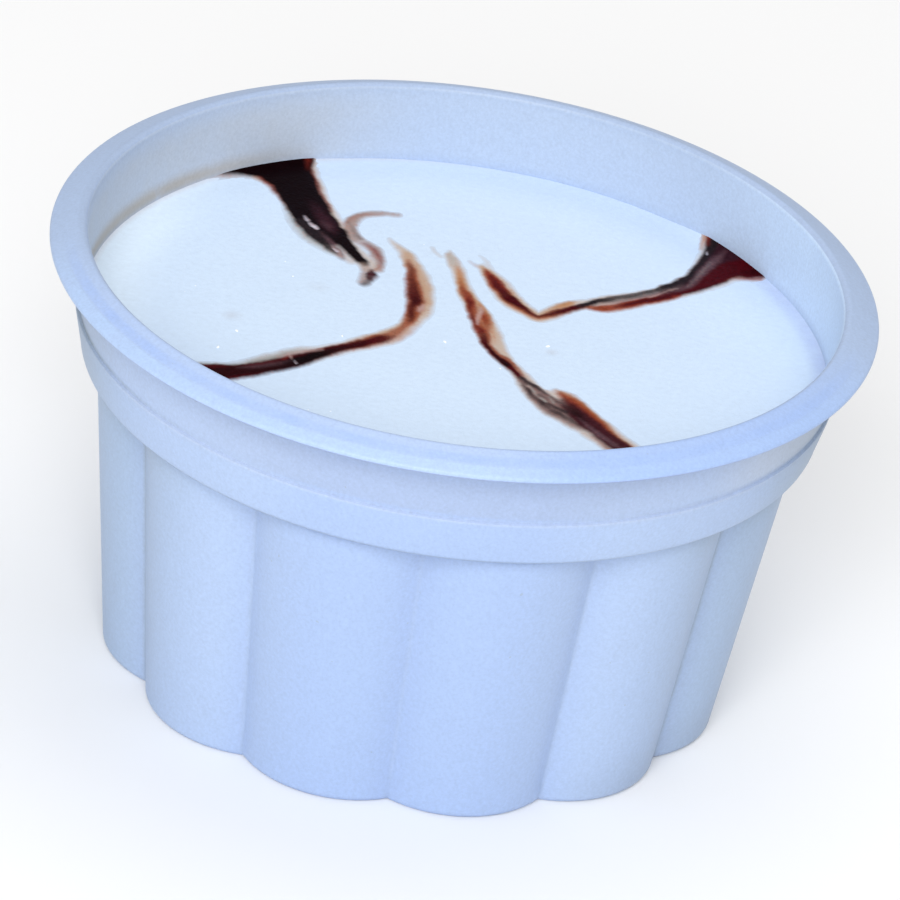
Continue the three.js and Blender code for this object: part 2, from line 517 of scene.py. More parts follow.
def paint_crease_shade(finish, spot):
    """Painted shade in dark lines along the valleys, at the step and under the collar, and broader painted
    shade beside each valley.
    """
    height, outside, wander = spot.height, spot.outside, spot.wander
    turn = spot.across.angle(spot.along) * (FLUTES / (2 * math.pi)) + 0.25 * FLUTES + 0.5
    beside = abs(turn.fraction() - 0.5) * (2 * math.pi / FLUTES) * spot.radius
    crease = (1 - beside / 0.5).clip() * (1 - height.rise(30.6, 31.0)) * (0.15 + 0.85 * spot.shaded_flank)
    valley = (1 - beside / 2.6).clip() * (1 - height.rise(29.0, 31.0)) * 0.25
    step = near(height, 36.25, 0.35) * outside * (wander * 2.4 - 0.5).clip()
    step = step * (0.1 + 0.9 * (0 - spot.across).rise(22.0, 33.0))
    ledge = near(height, 31.25, 0.45) * outside
    crease_shade = (crease * (wander * 1.8).clip() + step * 0.8 + ledge * 0.8).clip()
    # Painted shade beside the valleys and in the crease lines.
    finish.coat(valley, TINTS["valley"])
    finish.coat(crease_shade * 0.6, TINTS["crease"])


def plastic_finish(sizes):
    """Thin white moulding with a cool cast: satin, finely grained and faintly uneven."""
    finish = Finish("cup_plastic")
    spot = CupSpot(finish)
    tint_outside(finish, spot, sizes)
    tint_inside(finish, spot, sizes)
    tint_lip(finish, spot)
    paint_crease_shade(finish, spot)
    specks = finish.noise(spot.place, 1.3, 1.0, 0.5).rise(0.79, 0.83)
    finish.coat(specks * 0.4 * spot.outside, TINTS["speck"])
    grain = finish.noise(spot.place, 3.0, 3.0, 0.7)
    finish.grained((grain - 0.5) * 0.34 + 1.0)
    waves = finish.noise(spot.place, 0.3, 2.0, 0.5)
    normal = finish.bump(waves, 0.3, 0.3 * MM)
    normal = finish.bump(grain, 0.2, 0.1 * MM, normal)
    return finish.surface({
        "Base Color": finish.colour,
        "Roughness": 0.42 + grain * 0.14,
        "Normal": normal,
        "IOR": 1.45,
    })


# Tints of the cream, and faint marks in it: x, y and size in millimetres, and how much each shows.
DEEP_CREAM = (0.54, 0.66, 0.84)
PAINTED_LIGHT_CREAM = (0.77, 0.89, 1.0)
WET_CREAM = (0.48, 0.58, 0.84)
STAINED_CREAM = (0.60, 0.57, 0.61)
SMUDGE = (0.42, 0.38, 0.38)
SMUDGES = [(-21.5, -3.0, 1.3, 0.5), (9.3, -0.8, 0.9, 0.5), (-3.4, 16.4, 0.7, 0.3), (-14.0, 5.5, 1.4, 0.2)]


def cream_finish(sizes):
    """Smooth frozen cream: a very fine grain, wetter and stained where it meets the wall, with painted light
    by the far left wall to lift its shade.
    """
    finish = Finish("cream_gelato")
    spot = Spot(finish)
    across, along, radius = spot.across, spot.along, spot.radius
    grain = finish.noise(spot.place, 1.6, 5.0, 0.7)
    soft = finish.noise(spot.place, 0.15, 2.0, 0.5)
    uneven = finish.noise(spot.place, 0.5, 3.0, 0.6)
    patchy = (uneven + 0.4).clip()
    finish.colour = rgba(sizes.cream)
    finish.coat((soft - 0.4).clip() * 0.3, DEEP_CREAM)
    # Painted light by the far left wall, lifting the shade that the wall casts there.
    painted_light = radius.rise(27.0, 34.0) * (0 - across).rise(24.0, 33.0)
    finish.coat(painted_light * 0.8, PAINTED_LIGHT_CREAM)
    wet = radius.rise(34.0, 35.6) * across.rise(22.0, 31.0) * patchy
    finish.coat(wet * 0.75, WET_CREAM)
    stained = radius.rise(35.4, 36.4) * (0 - across).rise(-8.0, 20.0) * patchy
    finish.coat(stained * 0.7, STAINED_CREAM)
    for x, y, size, depth in SMUDGES:
        away = (((across - x) / size) ** 2 + ((along - y) / size) ** 2) ** 0.5
        finish.coat((1 - away).clip() * depth * uneven, SMUDGE)
    finish.grained((grain - 0.5) * 0.17 + 1.0)
    return finish.surface({
        "Base Color": finish.colour,
        "Roughness": 0.5 + grain * 0.1,
        "Normal": finish.bump(grain, 0.4, 0.18 * MM),
        "IOR": 1.35,
    })


def frost_finish():
    """Ice crystals: clear white and a little glossy, with a rough skin."""
    finish = Finish("frost")
    grain = finish.noise(finish.place(), 6.0, 3.0, 0.6)
    colour = finish.mix(grain * 0.3, (1.0, 1.0, 1.0, 1.0), (0.75, 0.86, 0.98, 1.0))
    return finish.surface({
        "Base Color": colour,
        "Roughness": 0.2 + grain * 0.2,
        "Normal": finish.bump(grain, 0.4, 0.05 * MM),
        "IOR": 1.31,
    })


STUDIO_LIGHT = 0.86  # what a white surface needs as its base colour to look white on the stage


def from_screen(red, green, blue):
    """The base colour that a screen shows as these values, from 0 to 255, in the studio's light."""
    return tuple(STUDIO_LIGHT * ((part / 255 + 0.055) / 1.055) ** 2.4 for part in (red, green, blue))


# The chocolate's colours as it thins out: the names go from cream to the thickest sauce. Some are painted
# light too: a painted glint, and colours that also paint sheen and reflection on the dark sauce.
SAUCE = {
    "cream": from_screen(215, 233, 254),
    # Painted glints.
    "painted_glint": from_screen(212, 206, 218),
    "blush": from_screen(196, 166, 162),
    "sand": from_screen(206, 188, 174),
    # Thin grey sauce, and also painted sheen.
    "mist_and_sheen": from_screen(176, 174, 170),
    "fawn": from_screen(168, 140, 128),
    "tan": from_screen(198, 164, 138),
    "apricot": from_screen(192, 138, 98),
    "rust": from_screen(152, 76, 48),
    "brick": from_screen(128, 44, 34),
    # Grey sauce, and also painted shade and sheen.
    "slate_shade_and_sheen": from_screen(112, 104, 106),
    "umber": from_screen(128, 106, 104),
    # Painted reflection.
    "olive_sheen": from_screen(92, 90, 84),
    "mauve": from_screen(98, 72, 80),
    # Dark sauce, and also painted sheen.
    "plum_and_sheen": from_screen(52, 24, 34),
    "wine": from_screen(64, 24, 32),
    "oxblood": from_screen(70, 6, 15),
    # Grey-black sauce, and also painted sheen.
    "soot_and_sheen": from_screen(36, 28, 32),
    "black": from_screen(16, 2, 6),
}


def chocolate_finish():
    """Dark sauce that thins out through red-brown and tan into the cream round it, with painted glints and
    painted sheen in its colour.
    """
    finish = Finish("chocolate_ripple")
    place = finish.place()
    thick = finish.attribute("thick", "Fac")
    blotches = finish.noise(place, 0.9, 3.0, 0.6)
    threads = finish.noise(place, 2.6, 2.0, 0.6)
    grain = finish.noise(place, 1.6, 5.0, 0.7)
    thinning = (thick * (1 - thick) * 4).clip()
    ruddy = ((threads - 0.5) * 3.0).clip() * thinning
    milky = ((blotches - 0.56) * 4.0).clip() * thinning
    finish.colour = finish.attribute("sauce", "Color")
    finish.coat(ruddy * 0.45, SAUCE["rust"])
    finish.coat(milky * 0.3, SAUCE["blush"])
    finish.grained(1 + (threads - 0.5) * thick * 0.9)
    normal = finish.bump(grain, 0.3 * (1 - thick), 0.15 * MM)
    normal = finish.bump(threads, 0.2 * thick, 0.2 * MM, normal)
    return finish.surface({
        "Base Color": finish.colour,
        "Roughness": 0.5 + grain * 0.1 - thick * 0.25,
        "Normal": normal,
        "IOR": 1.35,
        "Specular IOR Level": 0.02,
        "Specular Tint": (0.7, 0.3, 0.35, 1.0),
    })


# ---------------------------------------------------------------- modelling


def take(piece):
    """Makes a piece the only one selected, and active."""
    bpy.ops.object.select_all(action="DESELECT")
    piece.select_set(True)
    bpy.context.view_layer.objects.active = piece


def select_where(piece, wanted):
    """Goes into edit mode with the vertices selected whose place is wanted."""
    bpy.ops.object.mode_set(mode="EDIT")
    bpy.ops.mesh.select_mode(type="VERT")
    bpy.ops.mesh.select_all(action="DESELECT")
    bpy.ops.object.mode_set(mode="OBJECT")
    for vertex in piece.data.vertices:
        vertex.select = wanted(vertex.co)
    bpy.ops.object.mode_set(mode="EDIT")


def finish_modifier(piece, modifier):
    take(piece)
    bpy.ops.object.modifier_apply(modifier=modifier.name)


def raise_by(piece, name, weights, rise):
    """Raises each point of a piece by its weight's share of a rise."""
    group = piece.vertex_groups.new(name=name)
    for vertex, weight in enumerate(weights):
        group.add([vertex], weight, "REPLACE")
    lift = piece.modifiers.new(name, "DISPLACE")
    lift.direction = "Z"
    lift.mid_level = 0.0
    lift.strength = rise
    lift.vertex_group = name
    finish_modifier(piece, lift)


def arc(centre, width, start, stop, steps, rise=None):
    """Points along an arc in the profile's plane, with angles in degrees from outwards."""
    rise = width if rise is None else rise
    points = []
    for step in range(steps + 1):
        angle = math.radians(start + (stop - start) * step / steps)
        points.append((centre[0] + width * math.cos(angle), centre[1] + rise * math.sin(angle)))
    return points


def turned(name, profile):
    """Turns a profile of (radius, height) points about the upright axis."""
    bpy.ops.object.select_all(action="DESELECT")
    bpy.ops.mesh.primitive_plane_add(size=MM)
    piece = bpy.context.object
    piece.name = piece.data.name = name
    bpy.ops.object.mode_set(mode="EDIT")
    bpy.ops.mesh.select_mode(type="VERT")
    bpy.ops.mesh.select_all(action="SELECT")
    bpy.ops.mesh.merge(type="CENTER")
    radius, height = profile[0]
    bpy.ops.transform.translate(value=(radius, 0, height))
    for (radius, height), (next_radius, next_height) in zip(profile, profile[1:]):
        step = (next_radius - radius, 0, next_height - height)
        bpy.ops.mesh.extrude_vertices_move(TRANSFORM_OT_translate={"value": step})
    bpy.ops.mesh.select_all(action="SELECT")
    bpy.ops.mesh.spin(steps=SPOKES, angle=2 * math.pi, center=(0, 0, 0), axis=(0, 0, 1))
    bpy.ops.mesh.select_all(action="SELECT")
    bpy.ops.mesh.remove_doubles(threshold=0.004 * MM)
    bpy.ops.mesh.normals_make_consistent(inside=False)
    bpy.ops.object.mode_set(mode="OBJECT")
    return piece


def from_valley(place):
    """The angle of a place round the axis from the nearest valley of the flutes."""
    angle = math.atan2(place.y, place.x) + math.pi / 2
    return abs((angle + HALF_FLUTE) % (2 * HALF_FLUTE) - HALF_FLUTE)


def on_flutes(place):
    """True on the side below the collar, outside and inside."""
    radius = math.hypot(place.x, place.y)
    return 27.5 * MM < radius < 34.55 * MM and place.z < 31.75 * MM


def flute(piece, depth):
    """Draws the side in between the crests, column by column, to arcs from valley to valley."""
    valley = 1 - depth
    centre = (1 - valley ** 2) / (2 * (1 - valley * math.cos(HALF_FLUTE)))
    bow = 1 - centre
    for facet in range(FACETS // 2):
        angle = facet * 2 * HALF_FLUTE / FACETS
        off_crest = HALF_FLUTE - angle
        share = centre * math.cos(off_crest) + math.sqrt(bow ** 2 - (centre * math.sin(off_crest)) ** 2)
        select_where(piece, lambda place: on_flutes(place) and abs(from_valley(place) - angle) < SAME_ANGLE)
        bpy.ops.transform.resize(value=(share, share, 1), center_override=(0, 0, 0))
        bpy.ops.object.mode_set(mode="OBJECT")


def soften_creases(piece, sizes):
    """Rounds the valleys of the flutes on the outside."""
    slope = (sizes.shoulder_radius - sizes.foot_radius) / SIDE_RISE

    def outer_crease(place):
        radius = math.hypot(place.x, place.y) / (1 - sizes.flute_depth)
        crest = sizes.foot_radius + slope * (place.z - FOOT_ROUND)
        on_side = 0.7 * MM < place.z < 31.0 * MM and radius < 35 * MM
        return on_side and from_valley(place) < SAME_ANGLE and radius > crest - 0.3 * MM

    select_where(piece, outer_crease)
    bpy.ops.mesh.bevel(offset=sizes.crease, offset_type="OFFSET", segments=4, affect="EDGES")
    bpy.ops.object.mode_set(mode="OBJECT")


def side(sizes, inset):
    """The side of the cup from the middle of its base to its collar, outside or inside."""
    foot = (sizes.foot_radius - FOOT_ROUND - inset, FOOT_ROUND + inset)
    shoulder_drop = SHOULDER_ROUND * math.sin(math.radians(60))
    shoulder = (sizes.shoulder_radius - SHOULDER_ROUND, LEDGE_HEIGHT - shoulder_drop)
    neck = shoulder[0] + SHOULDER_ROUND / 2
    ledge = LEDGE_HEIGHT + inset
    collar = (35.2 * MM - inset, ledge + COLLAR_ROUND)
    wall = arc(foot, FOOT_ROUND, -90, 0, 6)
    top = arc(shoulder, SHOULDER_ROUND - inset, 0, 60, 5)
    low, high = wall[-1], top[0]
    for row in range(1, SIDE_ROWS):
        share = row / SIDE_ROWS
        wall.append((low[0] + (high[0] - low[0]) * share, low[1] + (high[1] - low[1]) * share))
    return [
        (0, BASE_HEIGHT + inset),
        (12 * MM, BASE_HEIGHT + inset),
        (24.5 * MM, BASE_HEIGHT + inset),
        (25.5 * MM, inset),
        *wall,
        *top,
        (neck - inset, LEDGE_HEIGHT),
        (neck - inset / 2, ledge),
        *arc(collar, COLLAR_ROUND, -90, 0, 6),
        (BAND_RADIUS - inset, 35.9 * MM - inset),
        (36.85 * MM - inset, 36.05 * MM - inset),
        (36.6 * MM - inset, 36.2 * MM - inset),
    ]


def lip(sizes):
    """The lip, from its hollow underside round its edge and over its crown to the inside."""
    crown = (37 * MM, sizes.height - CROWN_ROUND)
    edge_radius = sizes.lip_radius - EDGE_ROUND
    fall = (edge_radius - crown[0]) * math.sin(LIP_SLOPE) - CROWN_ROUND + EDGE_ROUND
    edge = (edge_radius, crown[1] - fall / math.cos(LIP_SLOPE))
    hollow = (edge[0] - EDGE_ROUND - BAND_RADIUS) / 2
    under = arc((BAND_RADIUS + hollow, edge[1]), hollow, 180, 20, 8, 0.5 * MM)
    return under + arc(edge, EDGE_ROUND, 180, 427, 12) + arc(crown, CROWN_ROUND, 67, 180, 8)


class GELATO_OT_cup(bpy.types.Operator):
    """Models the fluted cup as one closed moulding"""

    bl_idname = "gelato.cup"
    bl_label = "Cup"

    def execute(self, context):
        sizes = context.scene.gelato_cup
        outside = side(sizes, 0)
        inside = side(sizes, sizes.wall)[::-1]
        cup = turned("moulded_cup", outside + lip(sizes) + inside)
        flute(cup, sizes.flute_depth)
        soften_creases(cup, sizes)
        take(cup)
        bpy.ops.object.shade_smooth_by_angle(angle=math.radians(32))
        cup.data.materials.append(plastic_finish(sizes))
        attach(cup, "root")
        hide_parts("cup")
        return {"FINISHED"}


# How far up the wall the gelato clings, as a share of its greatest rise, by degrees from +X.
CLING = {
    0: 0.5, 20: 0.5, 38: 0.6, 50: 1.0, 58: 0.5, 90: 0.45, 112: 0.6, 120: 1.0, 132: 1.0, 145: 0.7,
    170: 0.5, 200: 0.4, 330: 0.4, 360: 0.5,
}


def cling(piece, lowest):
    """Each point's share of the rise at the wall, for points above a height."""
    shares = []
    for vertex in piece.data.vertices:
        x, y, z = vertex.co
        outwards = min(max((math.hypot(x, y) - RIM_START) / RIM_RUN, 0.0), 1.0)
        turn = math.degrees(math.atan2(y, x)) % 360
        share = outwards ** 3 * float(np.interp(turn, list(CLING), list(CLING.values())))
        shares.append(share if z > lowest else 0.0)
    return shares


def gelato_profile(gelato):
    """The contents: the inside of the cup, up to a level top in fine rings that a meniscus is later raised
    on.
    """
    gap = 0.02 * MM
    bottom = [
        (0, 1.7 * MM + gap),
        (24.4 * MM, 1.7 * MM + gap),
        (25.4 * MM, 0.52 * MM),
        (29.6 * MM, 0.52 * MM),
        (30.38 * MM, 1.3 * MM),
        (33.88 * MM, 30.1 * MM),
        (33.3 * MM, 31.18 * MM),
        (33.5 * MM, 31.72 * MM),
        (34.6 * MM, 31.72 * MM),
        (35.46 * MM, 32.5 * MM),
    ]
    top = []
    for ring in range(SURFACE_RINGS + 1):
        top.append(((RIM_START + RIM_RUN) * (1 - ring / SURFACE_RINGS), gelato.level))
    return bottom + top


class GELATO_OT_gelato(bpy.types.Operator):
    """Models the cream gelato that fills the cup"""

    bl_idname = "gelato.gelato"
    bl_label = "Gelato"

    def execute(self, context):
        gelato = context.scene.gelato_contents
        cup = context.scene.gelato_cup
        body = turned("cream_gelato", gelato_profile(gelato))
        flute(body, cup.flute_depth)
        raise_by(body, "rim", cling(body, gelato.level - 0.1 * MM), gelato.meniscus)
        take(body)
        bpy.ops.object.shade_smooth_by_angle(angle=math.radians(40))
        body.data.materials.append(cream_finish(gelato))
        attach(body, "root")
        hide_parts("gelato")
        return {"FINISHED"}


# Where the larger frost crumbs lie, as x, y and half a length, in millimetres.
CRUMBS = [
    (-20.8, -5.9, 0.22), (-22.2, -9.7, 0.24), (-10.8, -3.8, 0.18), (-1.0, -1.9, 0.24), (8.9, 0.3, 0.26),
]

# The field that the small crumbs are strewn over, and half their least and greatest length.
FIELD_WIDTH, FIELD_DEPTH, FIELD_RADIUS = 30, 27, 31
SMALL_CRUMB = (0.06, 0.12)


def crumb(name, place, size, turn, seed):
    """A chip of frost: a ball pulled out of shape, laid flat and turned."""
    bpy.ops.object.select_all(action="DESELECT")
    bpy.ops.mesh.primitive_ico_sphere_add(subdivisions=2, radius=size)
    chip = bpy.context.object
    chip.name = chip.data.name = name
    bpy.ops.object.mode_set(mode="EDIT")
    bpy.ops.mesh.select_all(action="SELECT")
    bpy.ops.transform.vertex_random(offset=size * 0.2, seed=seed)
    bpy.ops.transform.resize(value=(1.0, 0.55, 0.35), center_override=(0, 0, 0))
    bpy.ops.transform.rotate(value=turn, orient_axis="Z", center_override=(0, 0, 0))
    bpy.ops.transform.translate(value=place)
    bpy.ops.object.mode_set(mode="OBJECT")
    bpy.ops.object.shade_flat()
    return chip


class GELATO_OT_crumbs(bpy.types.Operator):
    """Scatters a few chips of frost over the gelato"""

    bl_idname = "gelato.crumbs"
    bl_label = "Frost crumbs"

    def execute(self, context):
        contents = context.scene.gelato_contents
        chance = random.Random(7)
        places = list(CRUMBS)
        while len(places) < len(CRUMBS) + contents.crumbs:
            x = chance.uniform(-FIELD_WIDTH, FIELD_WIDTH)
            y = chance.uniform(-FIELD_DEPTH, FIELD_DEPTH)
            if math.hypot(x, y) < FIELD_RADIUS:
                places.append((x, y, chance.uniform(*SMALL_CRUMB)))
        frost = frost_finish()
        for number, (x, y, size) in enumerate(places):
            place = (x * MM, y * MM, contents.level + 0.1 * size * MM)
            turn = chance.uniform(0, math.pi)
            chip = crumb(f"frost_crumb_{number + 1}", place, size * MM, turn, number)
            chip.data.materials.append(frost)
            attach(chip, "root")
        return {"FINISHED"}


# The strips that carry each ripple, through stations of x, y and half a width, in millimetres.
STRIPS = {
    "ripple_back_left": [
        [
            (-9.6, 9.4, 1.2), (-10.8, 11.8, 2.8), (-12.6, 14.4, 3.2), (-14.6, 17.8, 3.3), (-16.6, 21.6, 3.2),
            (-18.2, 24.8, 4.0), (-19.8, 27.8, 7.8), (-21.8, 31.0, 10.2), (-24.4, 35.4, 11.8),
        ],
        [
            (-7.0, 23.5, 0.8), (-9.4, 23.0, 1.1), (-11.4, 21.9, 1.2), (-12.1, 19.8, 1.3), (-11.4, 17.2, 1.2),
            (-9.8, 15.3, 1.2), (-8.7, 13.4, 1.1), (-8.5, 11.4, 1.1), (-8.9, 9.4, 1.3), (-9.4, 8.0, 1.2),
            (-10.0, 6.4, 0.8),
        ],
    ],
    "ripple_front_left": [
        [
            (-8.5, 18.6, 0.5), (-6.8, 16.0, 1.2), (-5.5, 13.0, 1.6), (-4.7, 9.6, 1.9), (-4.2, 5.8, 2.3),
            (-4.2, 2.8, 2.1), (-4.9, 0.0, 1.7), (-6.4, -2.7, 1.9), (-9.0, -5.0, 2.1), (-12.0, -7.4, 2.3),
            (-15.2, -9.7, 2.7), (-18.6, -12.0, 2.9), (-22.6, -14.8, 3.2), (-32.5, -21.6, 4.8),
        ],
    ],
    "ripple_front_right": [
        [
            (-2.4, 18.2, 2.0), (-1.8, 15.6, 1.9), (-1.0, 12.6, 1.6), (-0.1, 9.4, 1.5), (1.0, 6.4, 1.9),
            (2.1, 3.2, 2.1), (3.1, 0.2, 2.0), (4.1, -2.4, 1.7), (5.6, -4.9, 1.6), (7.4, -7.3, 1.8),
            (9.6, -9.6, 2.7), (12.2, -11.6, 3.7), (15.0, -14.6, 3.4), (18.4, -18.6, 3.1), (27.5, -28.5, 4.2),
        ],
    ],
    "ripple_right": [
        [
            (0.4, 17.6, 1.0), (1.5, 14.8, 1.5), (2.9, 12.0, 1.8), (4.1, 9.6, 1.9), (5.8, 7.5, 1.6),
            (7.7, 6.3, 1.4), (9.4, 7.8, 1.7), (11.2, 9.6, 1.8), (13.4, 10.7, 2.3), (16.2, 12.2, 2.0),
            (19.2, 14.3, 1.8), (21.6, 16.8, 2.2), (23.9, 19.8, 3.0), (25.6, 22.6, 4.2), (28.4, 27.0, 7.5),
        ],
    ],
}

# What lies in each ripple, from the faintest trace to the thickest sauce. A stroke has a colour,
# how softly it ends in millimetres, and stations of x, y, half a width and strength.
# Some strokes below are painted glints, painted sheen and painted shade.
BACK_LEFT_STROKES = [
    ("mist_and_sheen", 0.9, [
        (-12.4, 12.3, 0.2, 0.5), (-14.1, 14.1, 0.7, 0.8), (-15.8, 16.6, 1.3, 0.8), (-16.9, 19.6, 1.5, 0.7),
        (-17.8, 23.0, 1.5, 0.5), (-18.6, 25.6, 2.0, 0.3),
    ]),
    ("sand", 0.7, [
        (-11.3, 11.9, 0.6, 0.6), (-12.0, 13.6, 1.4, 0.6), (-13.4, 16.2, 1.7, 0.8), (-14.9, 18.9, 2.15, 0.9),
        (-16.3, 21.8, 2.45, 0.9), (-17.4, 24.5, 2.5, 0.9), (-18.7, 27.2, 3.0, 0.9), (-20.2, 29.6, 4.1, 0.9),
        (-22.2, 33.2, 6.0, 0.9),
    ]),
    ("fawn", 0.6, [
        (-27.6, 23.6, 0.1, 0.3), (-26.8, 24.4, 0.3, 0.6), (-25.8, 25.2, 0.45, 0.7), (-24.6, 26.2, 0.7, 0.6),
        (-23.2, 26.9, 0.85, 0.5), (-21.6, 26.8, 0.5, 0.5),
    ]),
    ("fawn", 0.6, [
        (-7.7, 23.2, 0.45, 0.6), (-9.3, 22.9, 0.5, 0.75), (-10.8, 22.2, 0.55, 0.85), (-11.8, 21.0, 0.6, 0.9),
        (-12.1, 19.5, 0.75, 0.9), (-11.9, 18.0, 0.75, 0.8), (-11.3, 16.8, 0.6, 0.6),
    ]),
    ("fawn", 0.6, [
        (-12.0, 18.6, 0.4, 0.5), (-11.4, 16.9, 0.7, 0.6), (-10.2, 15.8, 0.65, 0.7), (-9.2, 14.9, 0.7, 0.8),
        (-8.8, 13.4, 0.65, 0.8), (-8.6, 12.0, 0.55, 0.8), (-8.6, 10.8, 0.5, 0.8),
    ]),
    ("brick", 0.5, [
        (-16.5, 22.0, 2.35, 0.7), (-17.6, 24.4, 2.4, 0.8), (-18.6, 26.6, 2.75, 0.9), (-19.8, 28.8, 3.3, 0.9),
        (-21.3, 31.3, 4.65, 0.9), (-23.4, 34.6, 6.6, 0.9),
    ]),
    ("black", 0.5, [
        (-13.5, 15.8, 1.3, 1.0), (-15.0, 18.4, 2.05, 1.0), (-16.5, 21.4, 2.25, 1.0), (-17.6, 24.2, 2.15, 1.0),
        (-18.5, 26.5, 2.4, 1.0), (-19.7, 28.8, 3.1, 1.0), (-21.0, 31.4, 4.4, 1.0), (-23.0, 34.8, 7.3, 1.0),
    ]),
    ("black", 0.5, [
        (-21.0, 28.8, 1.8, 1.0), (-22.6, 28.1, 1.45, 1.0), (-23.8, 27.4, 1.15, 1.0), (-24.9, 26.6, 0.8, 1.0),
        (-25.9, 25.7, 0.5, 1.0), (-26.7, 24.9, 0.2, 0.8),
    ]),
    ("sand", 0.6, [
        (-11.8, 15.4, 0.6, 0.5), (-10.6, 13.4, 0.9, 0.7), (-9.9, 12.0, 0.9, 0.8), (-9.4, 10.8, 0.8, 0.7),
    ]),
    ("black", 0.5, [
        (-9.9, 11.4, 0.35, 0.9), (-10.3, 12.1, 0.6, 1.0), (-11.1, 13.3, 0.7, 1.0), (-12.1, 15.0, 0.8, 1.0),
        (-13.2, 17.4, 1.1, 1.0),
    ]),
    ("soot_and_sheen", 0.5, [
        (-12.6, 12.6, 0.2, 0.5), (-13.3, 13.5, 0.45, 0.9), (-14.4, 14.9, 0.6, 1.0), (-15.6, 16.5, 0.8, 1.0),
        (-16.8, 18.4, 0.8, 1.0),
    ]),
    ("brick", 0.7, [(-17.4, 33.0, 0.4, 0.7), (-17.5, 31.4, 0.25, 0.6), (-17.3, 29.8, 0.1, 0.2)]),
    # Painted purple-brown sheen on the dark body.
    ("plum_and_sheen", 1.0, [
        (-16.4, 23.2, 0.4, 0.2), (-15.6, 21.8, 0.6, 0.6), (-14.9, 20.3, 0.75, 0.95), (-14.2, 18.6, 0.8, 1.0),
        (-13.7, 17.4, 0.6, 0.8), (-13.3, 16.4, 0.2, 0.3),
    ]),
    ("mauve", 0.8, [(-14.9, 19.4, 0.1, 0.2), (-14.3, 18.3, 0.3, 0.4), (-13.9, 17.3, 0.1, 0.2)]),
    ("mauve", 0.6, [
        (-14.8, 16.8, 0.1, 0.3), (-14.1, 15.7, 0.25, 0.7), (-13.4, 14.7, 0.3, 0.85), (-12.8, 13.7, 0.35, 0.8),
        (-12.5, 12.9, 0.35, 0.8), (-12.2, 12.1, 0.25, 0.6),
    ]),
    ("blush", 0.4, [(-13.3, 14.2, 0.08, 0.3), (-12.7, 13.2, 0.18, 0.6), (-12.4, 12.4, 0.12, 0.5)]),
    # Painted glints.
    ("painted_glint", 0.35, [(-16.7, 19.7, 0.12, 0.6), (-16.4, 19.1, 0.18, 0.8), (-16.2, 18.7, 0.08, 0.4)]),
    ("painted_glint", 0.35, [(-16.0, 18.4, 0.14, 0.8), (-15.7, 17.9, 0.3, 1.0), (-15.3, 17.4, 0.2, 0.9)]),
    ("painted_glint", 0.3, [(-13.1, 13.8, 0.1, 0.8), (-12.9, 13.4, 0.14, 0.8)]),
    ("rust", 0.5, [
        (-8.9, 22.6, 0.1, 0.3), (-10.6, 22.2, 0.15, 0.4), (-11.8, 21.2, 0.2, 0.4), (-12.4, 19.8, 0.25, 0.3),
    ]),
    # Painted shade line where the curl meets the body.
    ("slate_shade_and_sheen", 0.5, [(-12.3, 19.8, 0.15, 0.4), (-11.6, 18.2, 0.2, 0.5), (-10.9, 16.7, 0.2, 0.6)]),
    ("brick", 0.7, [
        (-10.4, 15.8, 0.15, 0.5), (-9.4, 15.0, 0.3, 0.8), (-8.8, 13.8, 0.3, 0.85), (-8.5, 12.4, 0.2, 0.6),
        (-8.6, 11.2, 0.15, 0.3),
    ]),
    ("fawn", 0.6, [
        (-10.1, 11.3, 0.3, 0.4), (-9.6, 10.4, 0.65, 0.6), (-9.5, 9.3, 0.75, 0.75), (-9.9, 7.9, 0.45, 0.8),
    ]),
    ("slate_shade_and_sheen", 0.5, [(-9.2, 8.3, 0.4, 0.9), (-9.7, 7.3, 0.36, 0.9)]),
    ("rust", 0.5, [(-8.6, 11.6, 0.1, 0.4), (-8.7, 10.8, 0.15, 0.5), (-9.0, 10.1, 0.1, 0.5)]),
    ("wine", 0.5, [(-9.1, 10.3, 0.25, 0.8), (-9.0, 9.6, 0.6, 1.0), (-9.1, 8.7, 0.5, 0.9)]),
]

